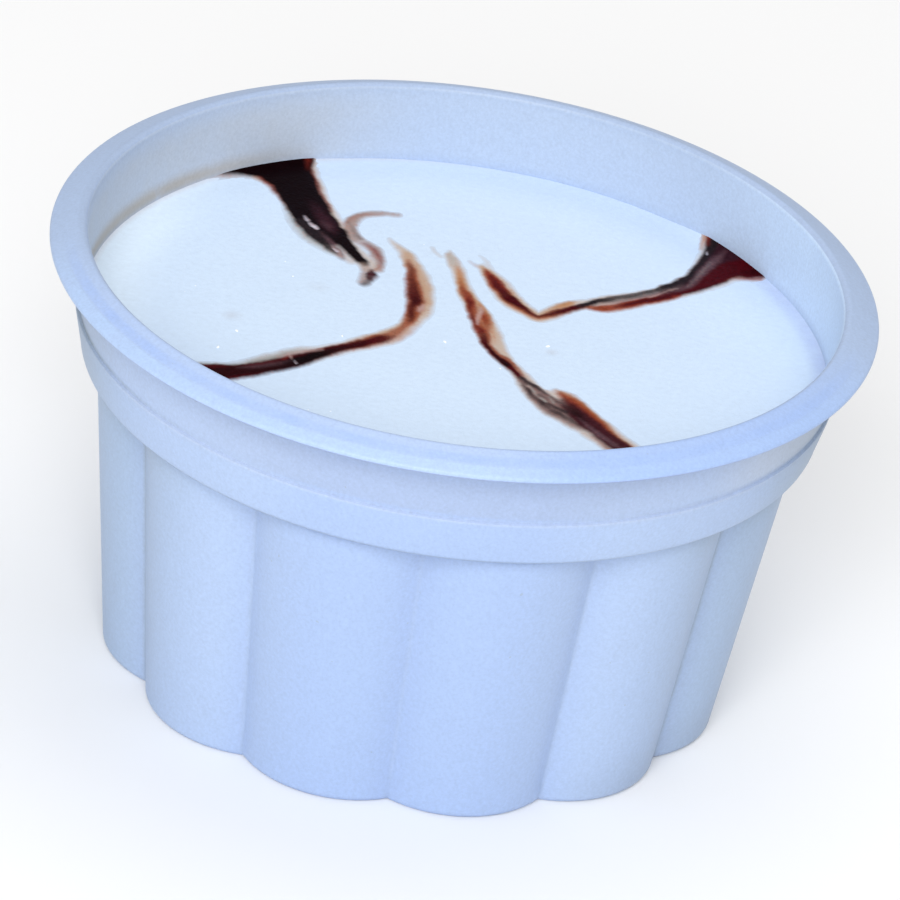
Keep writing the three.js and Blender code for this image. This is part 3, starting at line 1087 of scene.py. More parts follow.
FRONT_LEFT_STROKES = [
    ("sand", 0.7, [
        (-8.0, 17.7, 0.1, 0.6), (-7.0, 16.3, 0.4, 0.9), (-6.0, 14.8, 0.7, 1.0), (-5.2, 12.8, 0.85, 1.0),
        (-4.5, 10.5, 1.0, 1.0), (-4.0, 8.0, 1.1, 1.0), (-3.9, 5.8, 1.2, 0.9), (-3.9, 3.8, 1.15, 0.9),
        (-4.2, 2.0, 1.0, 0.9), (-4.9, 0.2, 0.85, 0.9), (-5.6, -1.4, 0.9, 1.0), (-6.6, -2.7, 1.25, 1.0),
        (-8.7, -4.6, 1.1, 0.7), (-11.2, -6.7, 1.0, 0.5), (-14.0, -8.8, 1.6, 0.5), (-17.0, -11.0, 1.5, 0.3),
    ]),
    # Grey halo round the dark end, partly painted sheen.
    ("mist_and_sheen", 1.0, [
        (-12.6, -7.8, 0.8, 0.4), (-14.8, -9.2, 1.3, 0.9), (-17.4, -11.5, 1.25, 0.9), (-20.2, -13.7, 1.2, 0.9),
        (-23.4, -15.4, 1.9, 1.0), (-32.5, -21.8, 3.5, 1.0),
    ]),
    ("tan", 0.6, [
        (-6.2, 15.0, 0.4, 0.8), (-5.4, 12.8, 0.65, 0.9), (-4.7, 10.5, 0.8, 0.9), (-4.2, 8.0, 0.95, 0.9),
        (-4.0, 5.8, 1.0, 0.9), (-4.2, 3.2, 0.8, 0.8), (-4.8, 1.0, 0.6, 0.8), (-5.4, -0.8, 0.6, 0.8),
        (-6.2, -2.2, 0.75, 0.8), (-7.6, -3.3, 0.85, 0.8), (-9.8, -5.3, 0.65, 0.4), (-12.0, -7.2, 0.6, 0.3),
    ]),
    ("rust", 0.5, [
        (-5.8, 13.8, 0.2, 0.5), (-5.4, 12.0, 0.5, 0.8), (-5.05, 9.5, 0.75, 0.95), (-4.6, 7.0, 0.85, 0.9),
        (-4.4, 5.0, 0.85, 0.9), (-4.5, 3.0, 0.8, 0.95), (-4.8, 1.0, 0.55, 0.9), (-5.3, -0.6, 0.4, 0.8),
        (-6.1, -2.2, 0.6, 0.8), (-7.5, -3.6, 0.9, 0.9), (-9.4, -5.3, 0.72, 0.9), (-11.4, -6.9, 0.72, 0.7),
        (-13.2, -8.6, 0.9, 0.5),
    ]),
    ("blush", 0.7, [
        (-4.0, 0.4, 0.3, 0.3), (-4.7, -1.4, 0.35, 0.6), (-5.7, -3.0, 0.35, 0.6), (-7.4, -4.6, 0.2, 0.3),
    ]),
    ("oxblood", 0.5, [
        (-5.6, 13.0, 0.1, 0.4), (-5.4, 12.0, 0.25, 0.6), (-5.15, 10.0, 0.38, 0.7), (-4.85, 8.0, 0.5, 0.85),
        (-4.5, 6.0, 0.65, 0.95), (-4.4, 5.0, 0.6, 0.95), (-4.65, 3.9, 0.38, 0.85), (-4.55, 2.5, 0.42, 0.85),
        (-4.65, 1.4, 0.3, 0.7), (-4.9, 0.5, 0.1, 0.4),
    ]),
    ("black", 0.5, [(-4.5, 6.0, 0.2, 0.4), (-4.5, 5.2, 0.2, 0.5), (-4.6, 4.4, 0.1, 0.3)]),
    # Painted greenish-grey reflection along the upper edge of the dark end.
    ("olive_sheen", 1.0, [
        (-13.4, -8.1, 0.3, 0.3), (-15.3, -9.5, 0.55, 0.7), (-17.2, -11.3, 0.5, 0.8), (-19.2, -12.8, 0.5, 0.8),
        (-21.4, -13.5, 0.55, 0.7), (-23.8, -14.2, 0.5, 0.7),
    ]),
    ("oxblood", 0.55, [
        (-6.0, -2.5, 0.2, 0.6), (-6.8, -3.2, 0.65, 0.95), (-8.1, -4.25, 0.64, 1.0), (-9.3, -5.25, 0.62, 1.0),
        (-10.9, -6.5, 0.64, 1.0), (-12.6, -8.05, 0.82, 1.0), (-14.4, -9.9, 1.05, 1.0),
        (-17.0, -12.1, 1.05, 1.0), (-19.7, -13.9, 1.25, 1.0), (-22.0, -15.0, 1.8, 1.0),
        (-26.0, -17.6, 2.4, 1.0), (-32.5, -21.6, 3.4, 1.0),
    ]),
    ("black", 0.6, [
        (-8.5, -4.6, 0.2, 0.5), (-10.9, -6.7, 0.4, 0.7), (-12.6, -8.4, 0.65, 1.0), (-14.3, -10.1, 0.75, 1.0),
        (-16.2, -11.8, 0.75, 0.8), (-18.4, -13.3, 0.7, 0.7), (-21.0, -14.5, 1.0, 0.7),
        (-32.5, -21.6, 2.4, 0.7),
    ]),
    ("mauve", 0.7, [
        (-15.2, -10.4, 0.1, 0.2), (-16.6, -11.5, 0.25, 0.5), (-18.2, -12.5, 0.3, 0.5),
        (-19.8, -13.3, 0.15, 0.3),
    ]),
    ("blush", 0.6, [
        (-12.6, -7.3, 0.2, 0.5), (-13.9, -8.0, 0.3, 0.6), (-15.2, -8.9, 0.3, 0.6), (-16.2, -9.8, 0.2, 0.4),
    ]),
    ("brick", 0.4, [(-15.0, -9.2, 0.1, 0.4), (-15.6, -9.7, 0.18, 0.6), (-15.9, -10.4, 0.12, 0.5)]),
    ("blush", 0.3, [(-15.5, -8.8, 0.06, 0.5), (-15.3, -9.6, 0.12, 0.7), (-15.1, -10.1, 0.06, 0.4)]),
    # Painted glint.
    ("painted_glint", 0.3, [(-14.8, -10.3, 0.06, 0.5), (-14.6, -10.7, 0.1, 0.6)]),
    ("blush", 0.4, [(-3.6, 4.7, 0.15, 0.7), (-3.75, 4.1, 0.28, 0.8), (-3.9, 3.4, 0.15, 0.6)]),
    ("rust", 0.4, [(-4.0, 3.2, 0.1, 0.5), (-3.95, 2.2, 0.15, 0.6), (-4.2, 1.2, 0.1, 0.4)]),
]

FRONT_RIGHT_STROKES = [
    ("sand", 0.5, [(-3.7, 17.4, 0.15, 0.4), (-3.3, 16.4, 0.2, 0.45), (-2.7, 15.6, 0.2, 0.4)]),
    ("sand", 0.6, [
        (-2.0, 17.2, 0.1, 0.6), (-1.8, 16.2, 0.45, 0.9), (-1.35, 14.8, 0.65, 0.9), (-0.85, 13.2, 0.65, 0.9),
        (-0.4, 11.5, 0.65, 0.9), (-0.05, 10.0, 0.65, 1.0), (0.4, 8.4, 0.8, 1.0), (1.1, 6.6, 0.95, 1.0),
        (1.9, 4.8, 1.1, 1.0), (2.4, 3.0, 1.2, 1.0), (3.0, 1.2, 1.25, 1.0), (3.6, -0.6, 1.15, 1.0),
        (4.1, -2.2, 0.85, 1.0), (5.0, -3.8, 0.75, 1.0), (6.1, -5.4, 0.7, 1.0), (7.0, -7.0, 0.85, 0.9),
        (8.1, -9.1, 1.2, 0.8), (9.9, -10.8, 2.1, 0.8), (12.1, -12.6, 2.2, 0.8), (14.3, -14.8, 1.9, 0.8),
        (16.4, -17.0, 1.7, 0.8), (19.3, -20.2, 1.8, 0.8), (27.0, -28.5, 2.8, 0.8),
    ]),
    ("mist_and_sheen", 0.6, [(-1.9, 16.6, 0.25, 0.5), (-1.5, 15.3, 0.45, 0.6), (-1.1, 14.0, 0.35, 0.3)]),
    ("apricot", 0.5, [
        (-1.05, 14.2, 0.1, 0.4), (-0.8, 13.2, 0.28, 0.8), (-0.5, 12.0, 0.38, 0.95), (-0.25, 10.7, 0.45, 1.0),
        (0.05, 9.2, 0.5, 0.9), (0.7, 7.6, 0.6, 0.8), (1.5, 6.0, 0.9, 0.8), (2.2, 4.0, 1.0, 0.8),
        (2.9, 1.6, 0.8, 0.6), (3.5, -0.6, 0.5, 0.3),
    ]),
    ("rust", 0.4, [
        (-0.4, 11.3, 0.1, 0.4), (-0.1, 9.8, 0.3, 0.8), (0.25, 8.6, 0.48, 0.9), (0.7, 7.2, 0.5, 0.9),
        (1.1, 5.4, 0.5, 0.9), (1.5, 3.8, 0.5, 0.8), (2.1, 1.9, 0.65, 0.9), (2.6, 0.3, 0.65, 0.9),
        (3.05, -1.3, 0.48, 0.9), (3.9, -2.9, 0.52, 0.9), (5.2, -4.2, 0.62, 0.9), (6.1, -5.5, 0.5, 0.8),
        (6.8, -6.8, 0.4, 0.6),
    ]),
    ("rust", 0.5, [
        (1.7, 6.6, 0.1, 0.4), (2.1, 5.4, 0.3, 0.6), (2.55, 4.1, 0.5, 1.0), (2.8, 2.8, 0.45, 0.9),
        (2.95, 1.4, 0.25, 0.6),
    ]),
    ("brick", 0.5, [(2.2, 4.9, 0.1, 0.4), (2.5, 3.9, 0.2, 0.6), (2.7, 3.0, 0.15, 0.4)]),
    ("brick", 0.5, [
        (0.0, 9.4, 0.15, 0.4), (0.4, 8.1, 0.35, 0.6), (0.7, 7.0, 0.45, 0.9), (0.9, 6.0, 0.4, 0.8),
        (1.05, 4.8, 0.3, 0.6), (1.3, 3.4, 0.3, 0.7), (1.75, 2.2, 0.34, 0.7), (2.2, 1.2, 0.48, 0.9),
    ]),
    ("oxblood", 0.4, [
        (0.5, 7.6, 0.1, 0.3), (0.7, 6.8, 0.25, 0.7), (0.85, 6.0, 0.2, 0.6), (1.0, 4.8, 0.12, 0.4),
        (1.3, 3.4, 0.15, 0.6), (1.7, 2.2, 0.15, 0.4), (2.2, 1.2, 0.3, 0.5), (2.55, 0.2, 0.4, 0.8),
        (2.85, -1.0, 0.38, 1.0), (3.25, -2.2, 0.28, 1.0), (4.15, -3.5, 0.38, 1.0), (5.2, -4.7, 0.5, 1.0),
        (6.0, -5.9, 0.35, 1.0), (6.6, -6.9, 0.35, 1.0), (7.1, -7.8, 0.3, 0.9),
    ]),
    ("black", 0.4, [(3.0, -1.3, 0.15, 0.5), (3.7, -2.8, 0.15, 0.5), (5.2, -4.8, 0.3, 0.9)]),
    ("blush", 0.4, [
        (1.9, 6.0, 0.2, 0.6), (1.95, 5.2, 0.25, 0.7), (1.85, 3.6, 0.22, 0.85), (1.85, 2.5, 0.15, 0.6),
    ]),
    ("umber", 0.6, [
        (6.9, -7.3, 0.5, 0.8), (7.8, -8.7, 0.9, 1.0), (8.7, -10.1, 1.15, 1.0), (9.8, -11.4, 1.4, 1.0),
        (11.0, -12.7, 1.3, 1.0), (12.9, -14.6, 0.9, 0.8),
    ]),
    ("apricot", 0.7, [
        (10.2, -8.4, 0.35, 0.8), (11.3, -9.1, 0.65, 0.9), (12.8, -10.8, 0.65, 1.0), (14.2, -12.8, 0.6, 1.0),
        (15.6, -14.8, 0.45, 1.0), (16.8, -16.4, 0.35, 0.9), (19.7, -19.6, 0.5, 0.9),
    ]),
    ("rust", 0.6, [
        (10.6, -9.0, 0.35, 0.8), (11.7, -10.0, 0.7, 0.95), (12.9, -11.6, 0.8, 1.0), (14.2, -13.4, 0.75, 1.0),
        (15.4, -15.2, 0.65, 0.9), (16.6, -16.8, 0.6, 0.8), (27.0, -28.5, 2.2, 0.8),
    ]),
    ("rust", 0.5, [(14.2, -16.4, 0.15, 0.4), (15.3, -17.8, 0.2, 0.6), (17.4, -20.2, 0.3, 0.6)]),
    ("brick", 0.6, [
        (10.9, -9.4, 0.3, 0.5), (11.6, -10.3, 0.5, 0.7), (12.8, -12.0, 0.6, 0.8), (14.2, -13.9, 0.6, 0.8),
        (15.6, -15.8, 0.6, 0.8), (17.0, -17.6, 0.6, 0.8),
    ]),
    ("wine", 0.6, [
        (10.9, -10.2, 0.4, 0.7), (11.6, -11.3, 0.8, 0.9), (12.5, -12.7, 1.0, 1.0), (13.4, -13.9, 1.1, 1.0),
        (14.65, -15.35, 1.0, 1.0), (15.95, -16.8, 1.0, 1.0), (17.9, -18.8, 1.05, 1.0),
        (27.0, -28.5, 2.2, 1.0),
    ]),
    ("black", 0.6, [(11.6, -11.4, 0.3, 0.5), (12.3, -12.3, 0.5, 0.7), (13.2, -13.7, 0.35, 0.5)]),
    ("soot_and_sheen", 0.4, [
        (6.8, -7.0, 0.25, 0.9), (7.4, -7.7, 0.3, 0.85), (8.2, -8.3, 0.35, 0.85), (8.9, -9.0, 0.25, 0.7),
        (9.6, -9.8, 0.12, 0.5), (10.4, -10.6, 0.2, 0.6),
    ]),
    ("soot_and_sheen", 0.4, [
        (7.0, -8.3, 0.15, 0.6), (7.6, -9.3, 0.3, 0.8), (8.3, -10.5, 0.28, 0.55), (8.9, -11.3, 0.4, 0.85),
        (9.7, -12.2, 0.25, 0.5), (10.6, -12.9, 0.35, 0.75), (11.7, -13.9, 0.3, 0.6), (12.6, -14.6, 0.2, 0.4),
    ]),
    ("soot_and_sheen", 0.4, [
        (8.7, -9.7, 0.08, 0.5), (9.3, -10.4, 0.1, 0.3), (9.6, -11.3, 0.25, 0.7), (10.4, -11.9, 0.3, 0.8),
        (11.3, -12.4, 0.3, 0.8),
    ]),
    ("mist_and_sheen", 0.35, [(7.5, -8.3, 0.1, 0.5), (8.1, -9.2, 0.16, 0.6), (8.5, -9.9, 0.08, 0.4)]),
    ("mist_and_sheen", 0.35, [(8.8, -10.3, 0.12, 0.8), (9.2, -10.9, 0.14, 0.7)]),
    ("mist_and_sheen", 0.35, [(9.6, -10.0, 0.08, 0.4), (10.1, -10.9, 0.14, 0.5)]),
    ("mauve", 0.5, [
        (12.6, -13.2, 0.1, 0.3), (13.6, -14.6, 0.25, 0.7), (14.5, -15.7, 0.35, 0.9), (15.5, -16.6, 0.3, 0.8),
        (16.6, -17.8, 0.2, 0.5),
    ]),
]

RIGHT_STROKES = [
    ("blush", 0.5, [(0.2, 15.5, 0.15, 0.3), (1.1, 14.5, 0.2, 0.5)]),
    ("sand", 0.6, [(1.2, 17.0, 0.15, 0.25), (1.8, 15.8, 0.25, 0.4), (2.4, 14.6, 0.3, 0.4)]),
    ("sand", 0.7, [
        (1.4, 14.8, 0.4, 0.9), (2.0, 13.9, 0.7, 1.0), (2.9, 12.5, 1.0, 0.9), (3.7, 10.8, 1.15, 0.9),
        (4.4, 9.2, 1.2, 1.0), (5.6, 7.6, 1.1, 1.0), (6.8, 6.5, 0.85, 1.0), (7.7, 5.9, 0.9, 1.0),
        (8.8, 7.2, 0.95, 0.9), (9.9, 8.5, 1.0, 0.9), (11.0, 9.4, 0.9, 0.8), (12.4, 10.3, 0.9, 0.8),
        (14.0, 10.8, 1.5, 0.9), (16.2, 12.2, 1.4, 0.8), (19.0, 14.3, 1.3, 0.7), (20.8, 15.9, 1.35, 0.7),
        (22.3, 17.6, 1.6, 0.6), (24.0, 19.9, 2.2, 0.6), (25.2, 22.4, 2.9, 0.6), (26.4, 24.4, 4.0, 0.6),
        (28.2, 27.0, 6.3, 0.6),
    ]),
    ("tan", 0.55, [
        (1.5, 14.6, 0.25, 0.9), (2.0, 13.7, 0.55, 0.9), (2.9, 12.1, 0.8, 0.8), (3.8, 10.3, 0.9, 0.8),
        (5.2, 8.0, 0.85, 0.8), (6.6, 6.6, 0.65, 0.8), (7.6, 5.9, 0.6, 0.9), (8.6, 7.0, 0.55, 0.9),
        (9.6, 8.4, 0.65, 1.0), (10.4, 9.4, 0.6, 1.0), (10.9, 10.1, 0.3, 0.7),
    ]),
    ("apricot", 0.5, [(9.2, 8.4, 0.15, 0.6), (9.9, 9.1, 0.35, 0.9), (10.5, 9.8, 0.3, 0.8)]),
    ("rust", 0.5, [
        (1.8, 14.1, 0.25, 0.8), (2.5, 12.7, 0.6, 0.9), (3.2, 11.1, 0.75, 0.9), (4.1, 9.4, 0.8, 0.9),
        (5.2, 7.9, 0.7, 0.9), (6.3, 6.7, 0.5, 0.9), (7.2, 5.95, 0.4, 0.9), (7.9, 5.9, 0.4, 0.9),
        (8.9, 6.9, 0.5, 0.9), (10.0, 7.9, 0.5, 0.9), (11.2, 9.0, 0.45, 0.9), (12.2, 9.6, 0.4, 0.8),
    ]),
    ("brick", 0.5, [
        (2.0, 13.6, 0.25, 0.8), (2.6, 12.5, 0.5, 0.95), (3.3, 11.2, 0.6, 1.0), (3.8, 10.2, 0.5, 0.9),
    ]),
    ("oxblood", 0.5, [
        (2.5, 12.7, 0.2, 0.6), (3.2, 11.2, 0.4, 0.8), (3.8, 9.9, 0.45, 0.9), (4.6, 8.8, 0.65, 1.0),
        (5.4, 7.9, 0.5, 1.0), (6.2, 7.1, 0.35, 0.95), (6.9, 6.3, 0.28, 0.9), (7.6, 5.9, 0.2, 0.8),
        (8.4, 6.5, 0.28, 0.85), (9.3, 7.3, 0.35, 0.95), (10.2, 8.05, 0.4, 1.0), (11.0, 8.8, 0.45, 1.0),
        (11.9, 9.7, 0.4, 1.0),
    ]),
    ("blush", 0.6, [
        (12.6, 9.8, 0.4, 0.6), (13.8, 9.9, 0.75, 0.8), (15.2, 10.8, 0.7, 0.8), (16.8, 12.0, 0.6, 0.7),
        (18.8, 13.6, 0.7, 0.8), (20.4, 15.2, 0.8, 0.8),
    ]),
    ("rust", 0.5, [
        (12.6, 9.4, 0.45, 0.9), (13.8, 9.65, 0.65, 1.0), (15.1, 10.4, 0.65, 0.9), (16.4, 11.4, 0.65, 0.95),
        (17.8, 12.5, 0.65, 0.9), (19.2, 13.6, 0.65, 0.9), (20.6, 14.8, 0.65, 0.9),
    ]),
    ("brick", 0.5, [
        (13.2, 9.5, 0.15, 0.4), (14.1, 9.8, 0.3, 0.6), (15.1, 10.4, 0.3, 0.7), (16.4, 11.4, 0.5, 0.95),
        (17.8, 12.5, 0.5, 1.0), (19.2, 13.6, 0.5, 1.0), (20.6, 14.8, 0.6, 1.0),
    ]),
    ("mauve", 0.6, [
        (13.6, 10.9, 0.15, 0.5), (15.2, 11.6, 0.25, 0.7), (16.8, 12.8, 0.25, 0.7), (18.4, 14.0, 0.3, 0.7),
        (19.8, 15.2, 0.35, 0.8),
    ]),
    ("oxblood", 0.5, [
        (14.9, 10.2, 0.1, 0.3), (16.0, 11.1, 0.3, 0.8), (17.2, 12.0, 0.35, 0.9), (18.6, 13.0, 0.35, 0.9),
        (20.0, 14.1, 0.4, 0.9),
    ]),
    ("plum_and_sheen", 0.5, [
        (19.6, 15.0, 0.5, 0.6), (20.7, 15.9, 0.85, 0.9), (22.2, 17.4, 1.2, 1.0), (23.9, 19.8, 1.85, 1.0),
        (25.0, 22.3, 2.4, 1.0), (26.4, 24.1, 3.7, 1.0), (28.2, 26.8, 5.7, 1.0),
    ]),
    ("rust", 0.5, [
        (25.0, 18.9, 0.1, 0.3), (26.2, 20.1, 0.3, 0.6), (27.4, 20.6, 0.4, 0.8), (29.0, 20.7, 0.4, 0.8),
    ]),
    ("oxblood", 0.55, [
        (17.6, 12.6, 0.2, 0.6), (19.4, 13.9, 0.25, 0.8), (21.0, 15.3, 0.5, 1.0), (22.5, 16.8, 0.75, 1.0),
        (23.6, 18.3, 1.0, 1.0), (24.8, 20.3, 1.2, 1.0), (26.4, 22.0, 1.6, 1.0), (28.2, 22.4, 1.65, 1.0),
        (31.0, 23.2, 2.2, 1.0),
    ]),
    ("black", 0.8, [(27.4, 21.7, 0.2, 0.4), (28.8, 21.9, 0.6, 0.6), (30.5, 22.2, 1.0, 0.6)]),
    # Painted grey-black sheen along the upper ridge.
    ("soot_and_sheen", 0.55, [
        (11.4, 9.2, 0.3, 0.7), (12.1, 9.9, 0.45, 1.0), (12.8, 10.7, 0.5, 1.0), (13.8, 11.4, 0.5, 0.95),
        (14.9, 12.2, 0.45, 0.9), (16.1, 13.0, 0.48, 0.9), (17.3, 13.9, 0.42, 0.9), (18.5, 14.9, 0.45, 0.9),
        (19.7, 16.1, 0.5, 1.0), (20.8, 17.4, 0.5, 1.0), (21.8, 18.9, 0.45, 1.0), (22.4, 20.6, 0.42, 1.0),
        (23.0, 22.4, 0.4, 1.0), (23.5, 24.2, 0.45, 1.0), (23.9, 26.2, 0.6, 1.0), (24.2, 29.0, 0.8, 1.0),
    ]),
    # Painted lighter grey sheen.
    ("slate_shade_and_sheen", 0.5, [(15.4, 12.6, 0.1, 0.3), (16.6, 13.6, 0.2, 0.5), (17.6, 14.3, 0.1, 0.3)]),
    ("mauve", 0.6, [
        (19.0, 14.0, 0.12, 0.4), (20.6, 15.5, 0.15, 0.6), (21.9, 16.9, 0.25, 0.9), (22.5, 18.3, 0.3, 0.9),
        (23.2, 20.3, 0.42, 1.0), (24.0, 22.3, 0.5, 1.0), (24.7, 24.0, 0.4, 0.8), (25.2, 25.2, 0.15, 0.4),
    ]),
    # Painted lighter grey sheen stripe.
    ("slate_shade_and_sheen", 0.4, [
        (21.8, 16.8, 0.08, 0.5), (22.4, 18.6, 0.1, 0.5), (23.2, 20.6, 0.18, 0.7), (24.0, 22.8, 0.15, 0.5),
    ]),
    ("blush", 0.35, [
        (14.0, 10.8, 0.06, 0.3), (15.0, 11.4, 0.08, 0.4), (15.8, 11.9, 0.05, 0.3), (16.9, 12.6, 0.06, 0.3),
        (17.7, 13.2, 0.04, 0.3), (18.6, 13.9, 0.1, 0.6), (19.6, 14.9, 0.06, 0.4), (20.8, 16.2, 0.08, 0.4),
    ]),
    ("apricot", 0.5, [(22.9, 25.6, 0.1, 0.6), (23.0, 27.2, 0.25, 0.8), (23.0, 29.4, 0.3, 0.8)]),
    ("brick", 0.5, [(23.5, 26.2, 0.1, 0.5), (23.5, 27.6, 0.3, 0.9), (23.6, 29.4, 0.4, 0.9)]),
    # Painted glint.
    ("painted_glint", 0.3, [(23.5, 24.9, 0.08, 0.6), (23.5, 24.5, 0.12, 0.8)]),
]

STROKES = {
    "ripple_back_left": BACK_LEFT_STROKES,
    "ripple_front_left": FRONT_LEFT_STROKES,
    "ripple_front_right": FRONT_RIGHT_STROKES,
    "ripple_right": RIGHT_STROKES,
}


def course_of(stations):
    """Stations joined by a smooth line, in short steps."""
    rows = np.array(stations, float)
    padded = np.vstack([2 * rows[0] - rows[1], rows, 2 * rows[-1] - rows[-2]])
    steps = []
    for before, start, stop, after in zip(padded, padded[1:], padded[2:], padded[3:]):
        count = max(2, int(np.hypot(*(stop - start)[:2]) / COURSE_STEP))
        for share in np.arange(count) / count:
            bend = (
                2 * start
                + (stop - before) * share
                + (2 * before - 5 * start + 4 * stop - after) * share ** 2
                + (3 * start - before - 3 * stop + after) * share ** 3
            ) / 2
            steps.append(np.concatenate([bend[:2], (start + (stop - start) * share)[2:]]))
    steps.append(rows[-1])
    return np.array(steps)


def cover(spots, softness, stations):
    """How far a stroke covers each spot, from 0 to 1."""
    course = course_of(stations)
    gap = spots[:, None, :] - course[None, :, :2]
    squares = (gap ** 2).sum(axis=2)
    nearest = squares.argmin(axis=1)
    distance = np.sqrt(squares[np.arange(len(spots)), nearest])
    half, strength = course[nearest, 2:].T
    edge = np.clip((half - distance) / (1.3 * softness) + 0.5, 0, 1)
    return edge * edge * (3 - 2 * edge) * strength


def drift(x, y):
    """A small irregular shift, so that the strokes' edges waver as sauce does, in millimetres."""
    coarse = noise.noise_vector((x * 0.7, y * 0.7, 3.0))
    fine = noise.noise_vector((x * 2.1, y * 2.1, 8.0))
    return [0.18 * coarse.x + 0.07 * fine.x, 0.18 * coarse.y + 0.07 * fine.y]


def paint(strip, strokes):
    """Writes the chocolate's colour at each point of a strip, painted glints and sheen included, and how
    thick it lies there.
    """
    count = len(strip.data.vertices)
    places = np.empty(count * 3)
    strip.data.vertices.foreach_get("co", places)
    spots = places.reshape(-1, 3)[:, :2] / MM
    spots = spots + np.array([drift(x, y) for x, y in spots])
    colour = np.tile(SAUCE["cream"], (count, 1))
    for name, softness, stations in strokes:
        amount = cover(spots, softness, stations)[:, None]
        colour = colour * (1 - amount) + np.array(SAUCE[name]) * amount
    thick = np.clip(1 - colour[:, 1] / SAUCE["cream"][1], 0, 1)
    layer = strip.data.attributes.new("sauce", "FLOAT_COLOR", "POINT")
    layer.data.foreach_set("color", np.hstack([colour, np.ones((count, 1))]).ravel())
    layer = strip.data.attributes.new("thick", "FLOAT", "POINT")
    layer.data.foreach_set("value", thick)


def strip_along(name, stations):
    """A flat strip that a curve bends along the stations."""
    length = sum(math.dist(a[:2], b[:2]) for a, b in zip(stations, stations[1:]))
    widest = 2 * max(station[2] for station in stations)
    columns = int(length / STRIP_COLUMN)
    rows = max(FEWEST_ROWS, int(widest / STRIP_ROW))
    bpy.ops.object.select_all(action="DESELECT")
    bpy.ops.mesh.primitive_grid_add(x_subdivisions=columns, y_subdivisions=rows, size=2)
    strip = bpy.context.object
    strip.name = strip.data.name = name
    bpy.ops.curve.primitive_bezier_curve_add()
    course = bpy.context.object
    course.data.dimensions = "2D"
    course.data.fill_mode = "NONE"
    course.data.resolution_u = 24
    course.data.use_stretch = True
    course.data.use_deform_bounds = True
    spline = course.data.splines[0]
    spline.radius_interpolation = "CARDINAL"
    spline.bezier_points.add(len(stations) - 2)
    for point, (x, y, half) in zip(spline.bezier_points, stations):
        point.co = (x * MM, y * MM, 0)
        point.handle_left_type = point.handle_right_type = "AUTO"
        point.radius = half * MM
    bend = strip.modifiers.new("bend", "CURVE")
    bend.object = course
    bend.deform_axis = "POS_X"
    finish_modifier(strip, bend)
    bpy.data.objects.remove(course)
    return strip


def heave(strip, contents, ripples, sink):
    """Lifts the sauce above the gelato, lets its border dive just under it and follows its rim."""
    thick = np.empty(len(strip.data.vertices))
    strip.data.attributes["thick"].data.foreach_get("value", thick)
    film = np.clip(thick / 0.05, 0, 1)
    raise_by(strip, "swell", 0.12 * film + 0.88 * thick ** 1.5, ripples.swell)
    raise_by(strip, "rim", cling(strip, -contents.level), contents.meniscus)
    take(strip)
    bpy.ops.object.mode_set(mode="EDIT")
    bpy.ops.mesh.select_all(action="SELECT")
    bpy.ops.transform.translate(value=(0, 0, contents.level - 0.01 * MM - sink))
    bpy.ops.object.mode_set(mode="OBJECT")


def trim_at_wall(strip):
    """Cuts off what runs past the wall, with planes that touch the wall's inside."""
    far = [v.co for v in strip.data.vertices if math.hypot(v.co.x, v.co.y) > WALL_REACH]
    if not far:
        return
    angles = sorted({round(math.atan2(co.y, co.x) / WALL_FACET) for co in far})
    take(strip)
    bpy.ops.object.mode_set(mode="EDIT")
    for number in range(angles[0] - 1, angles[-1] + 2):
        away = Vector((math.cos(number * WALL_FACET), math.sin(number * WALL_FACET), 0))
        bpy.ops.mesh.select_all(action="SELECT")
        bpy.ops.mesh.bisect(plane_co=away * WALL_REACH, plane_no=away, clear_outer=True)
    bpy.ops.object.mode_set(mode="OBJECT")


def deepen(ripple, contents, ripples):
    """Takes the strips down into the gelato, drawn in a little to follow the wall."""
    take(ripple)
    bpy.ops.object.mode_set(mode="EDIT")
    bpy.ops.mesh.select_all(action="SELECT")
    down = (0, 0, -ripples.depth)
    bpy.ops.mesh.extrude_region_move(TRANSFORM_OT_translate={"value": down})
    bpy.ops.transform.resize(value=(DRAWN_IN, DRAWN_IN, 1), center_override=(0, 0, 0))
    bpy.ops.mesh.select_all(action="SELECT")
    bpy.ops.mesh.normals_make_consistent(inside=False)
    bpy.ops.object.mode_set(mode="OBJECT")


class GELATO_OT_ripples(bpy.types.Operator):
    """Models the chocolate ripples, each as swollen strips let into the gelato"""

    bl_idname = "gelato.ripples"
    bl_label = "Ripples"

    def execute(self, context):
        contents = context.scene.gelato_contents
        ripples = context.scene.gelato_ripples
        noise.seed_set(WAVER_SEED)
        chocolate = chocolate_finish()
        for name, courses in STRIPS.items():
            strips = []
            for number, stations in enumerate(courses):
                strip = strip_along(f"{name}_{number}", stations)
                paint(strip, STROKES[name])
                heave(strip, contents, ripples, number * STRIP_DROP)
                trim_at_wall(strip)
                strips.append(strip)
            take(strips[0])
            for strip in strips[1:]:
                strip.select_set(True)
            if len(strips) > 1:
                bpy.ops.object.join()
            ripple = bpy.context.object
            ripple.name = ripple.data.name = name.replace("ripple", "sauce")
            deepen(ripple, contents, ripples)
            take(ripple)
            bpy.ops.object.shade_smooth_by_angle(angle=math.radians(50))
            ripple.data.materials.append(chocolate)
            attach(ripple, "root")
            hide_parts(name)
        return {"FINISHED"}


LIGHT_TARGET = (0, 0, 0.03)
CAMERA_DROP = math.radians(29.168)  # how far the camera looks down
CAMERA_ROLL = math.radians(8.503)  # how far it leans to the right
CAMERA_AWAY = 0.56
AIM_HEIGHT = 42.5 * MM
AIM_RIGHT = 1.0195  # from the axis to the middle of the frame, in millimetres
AIM_DOWN = 17.227


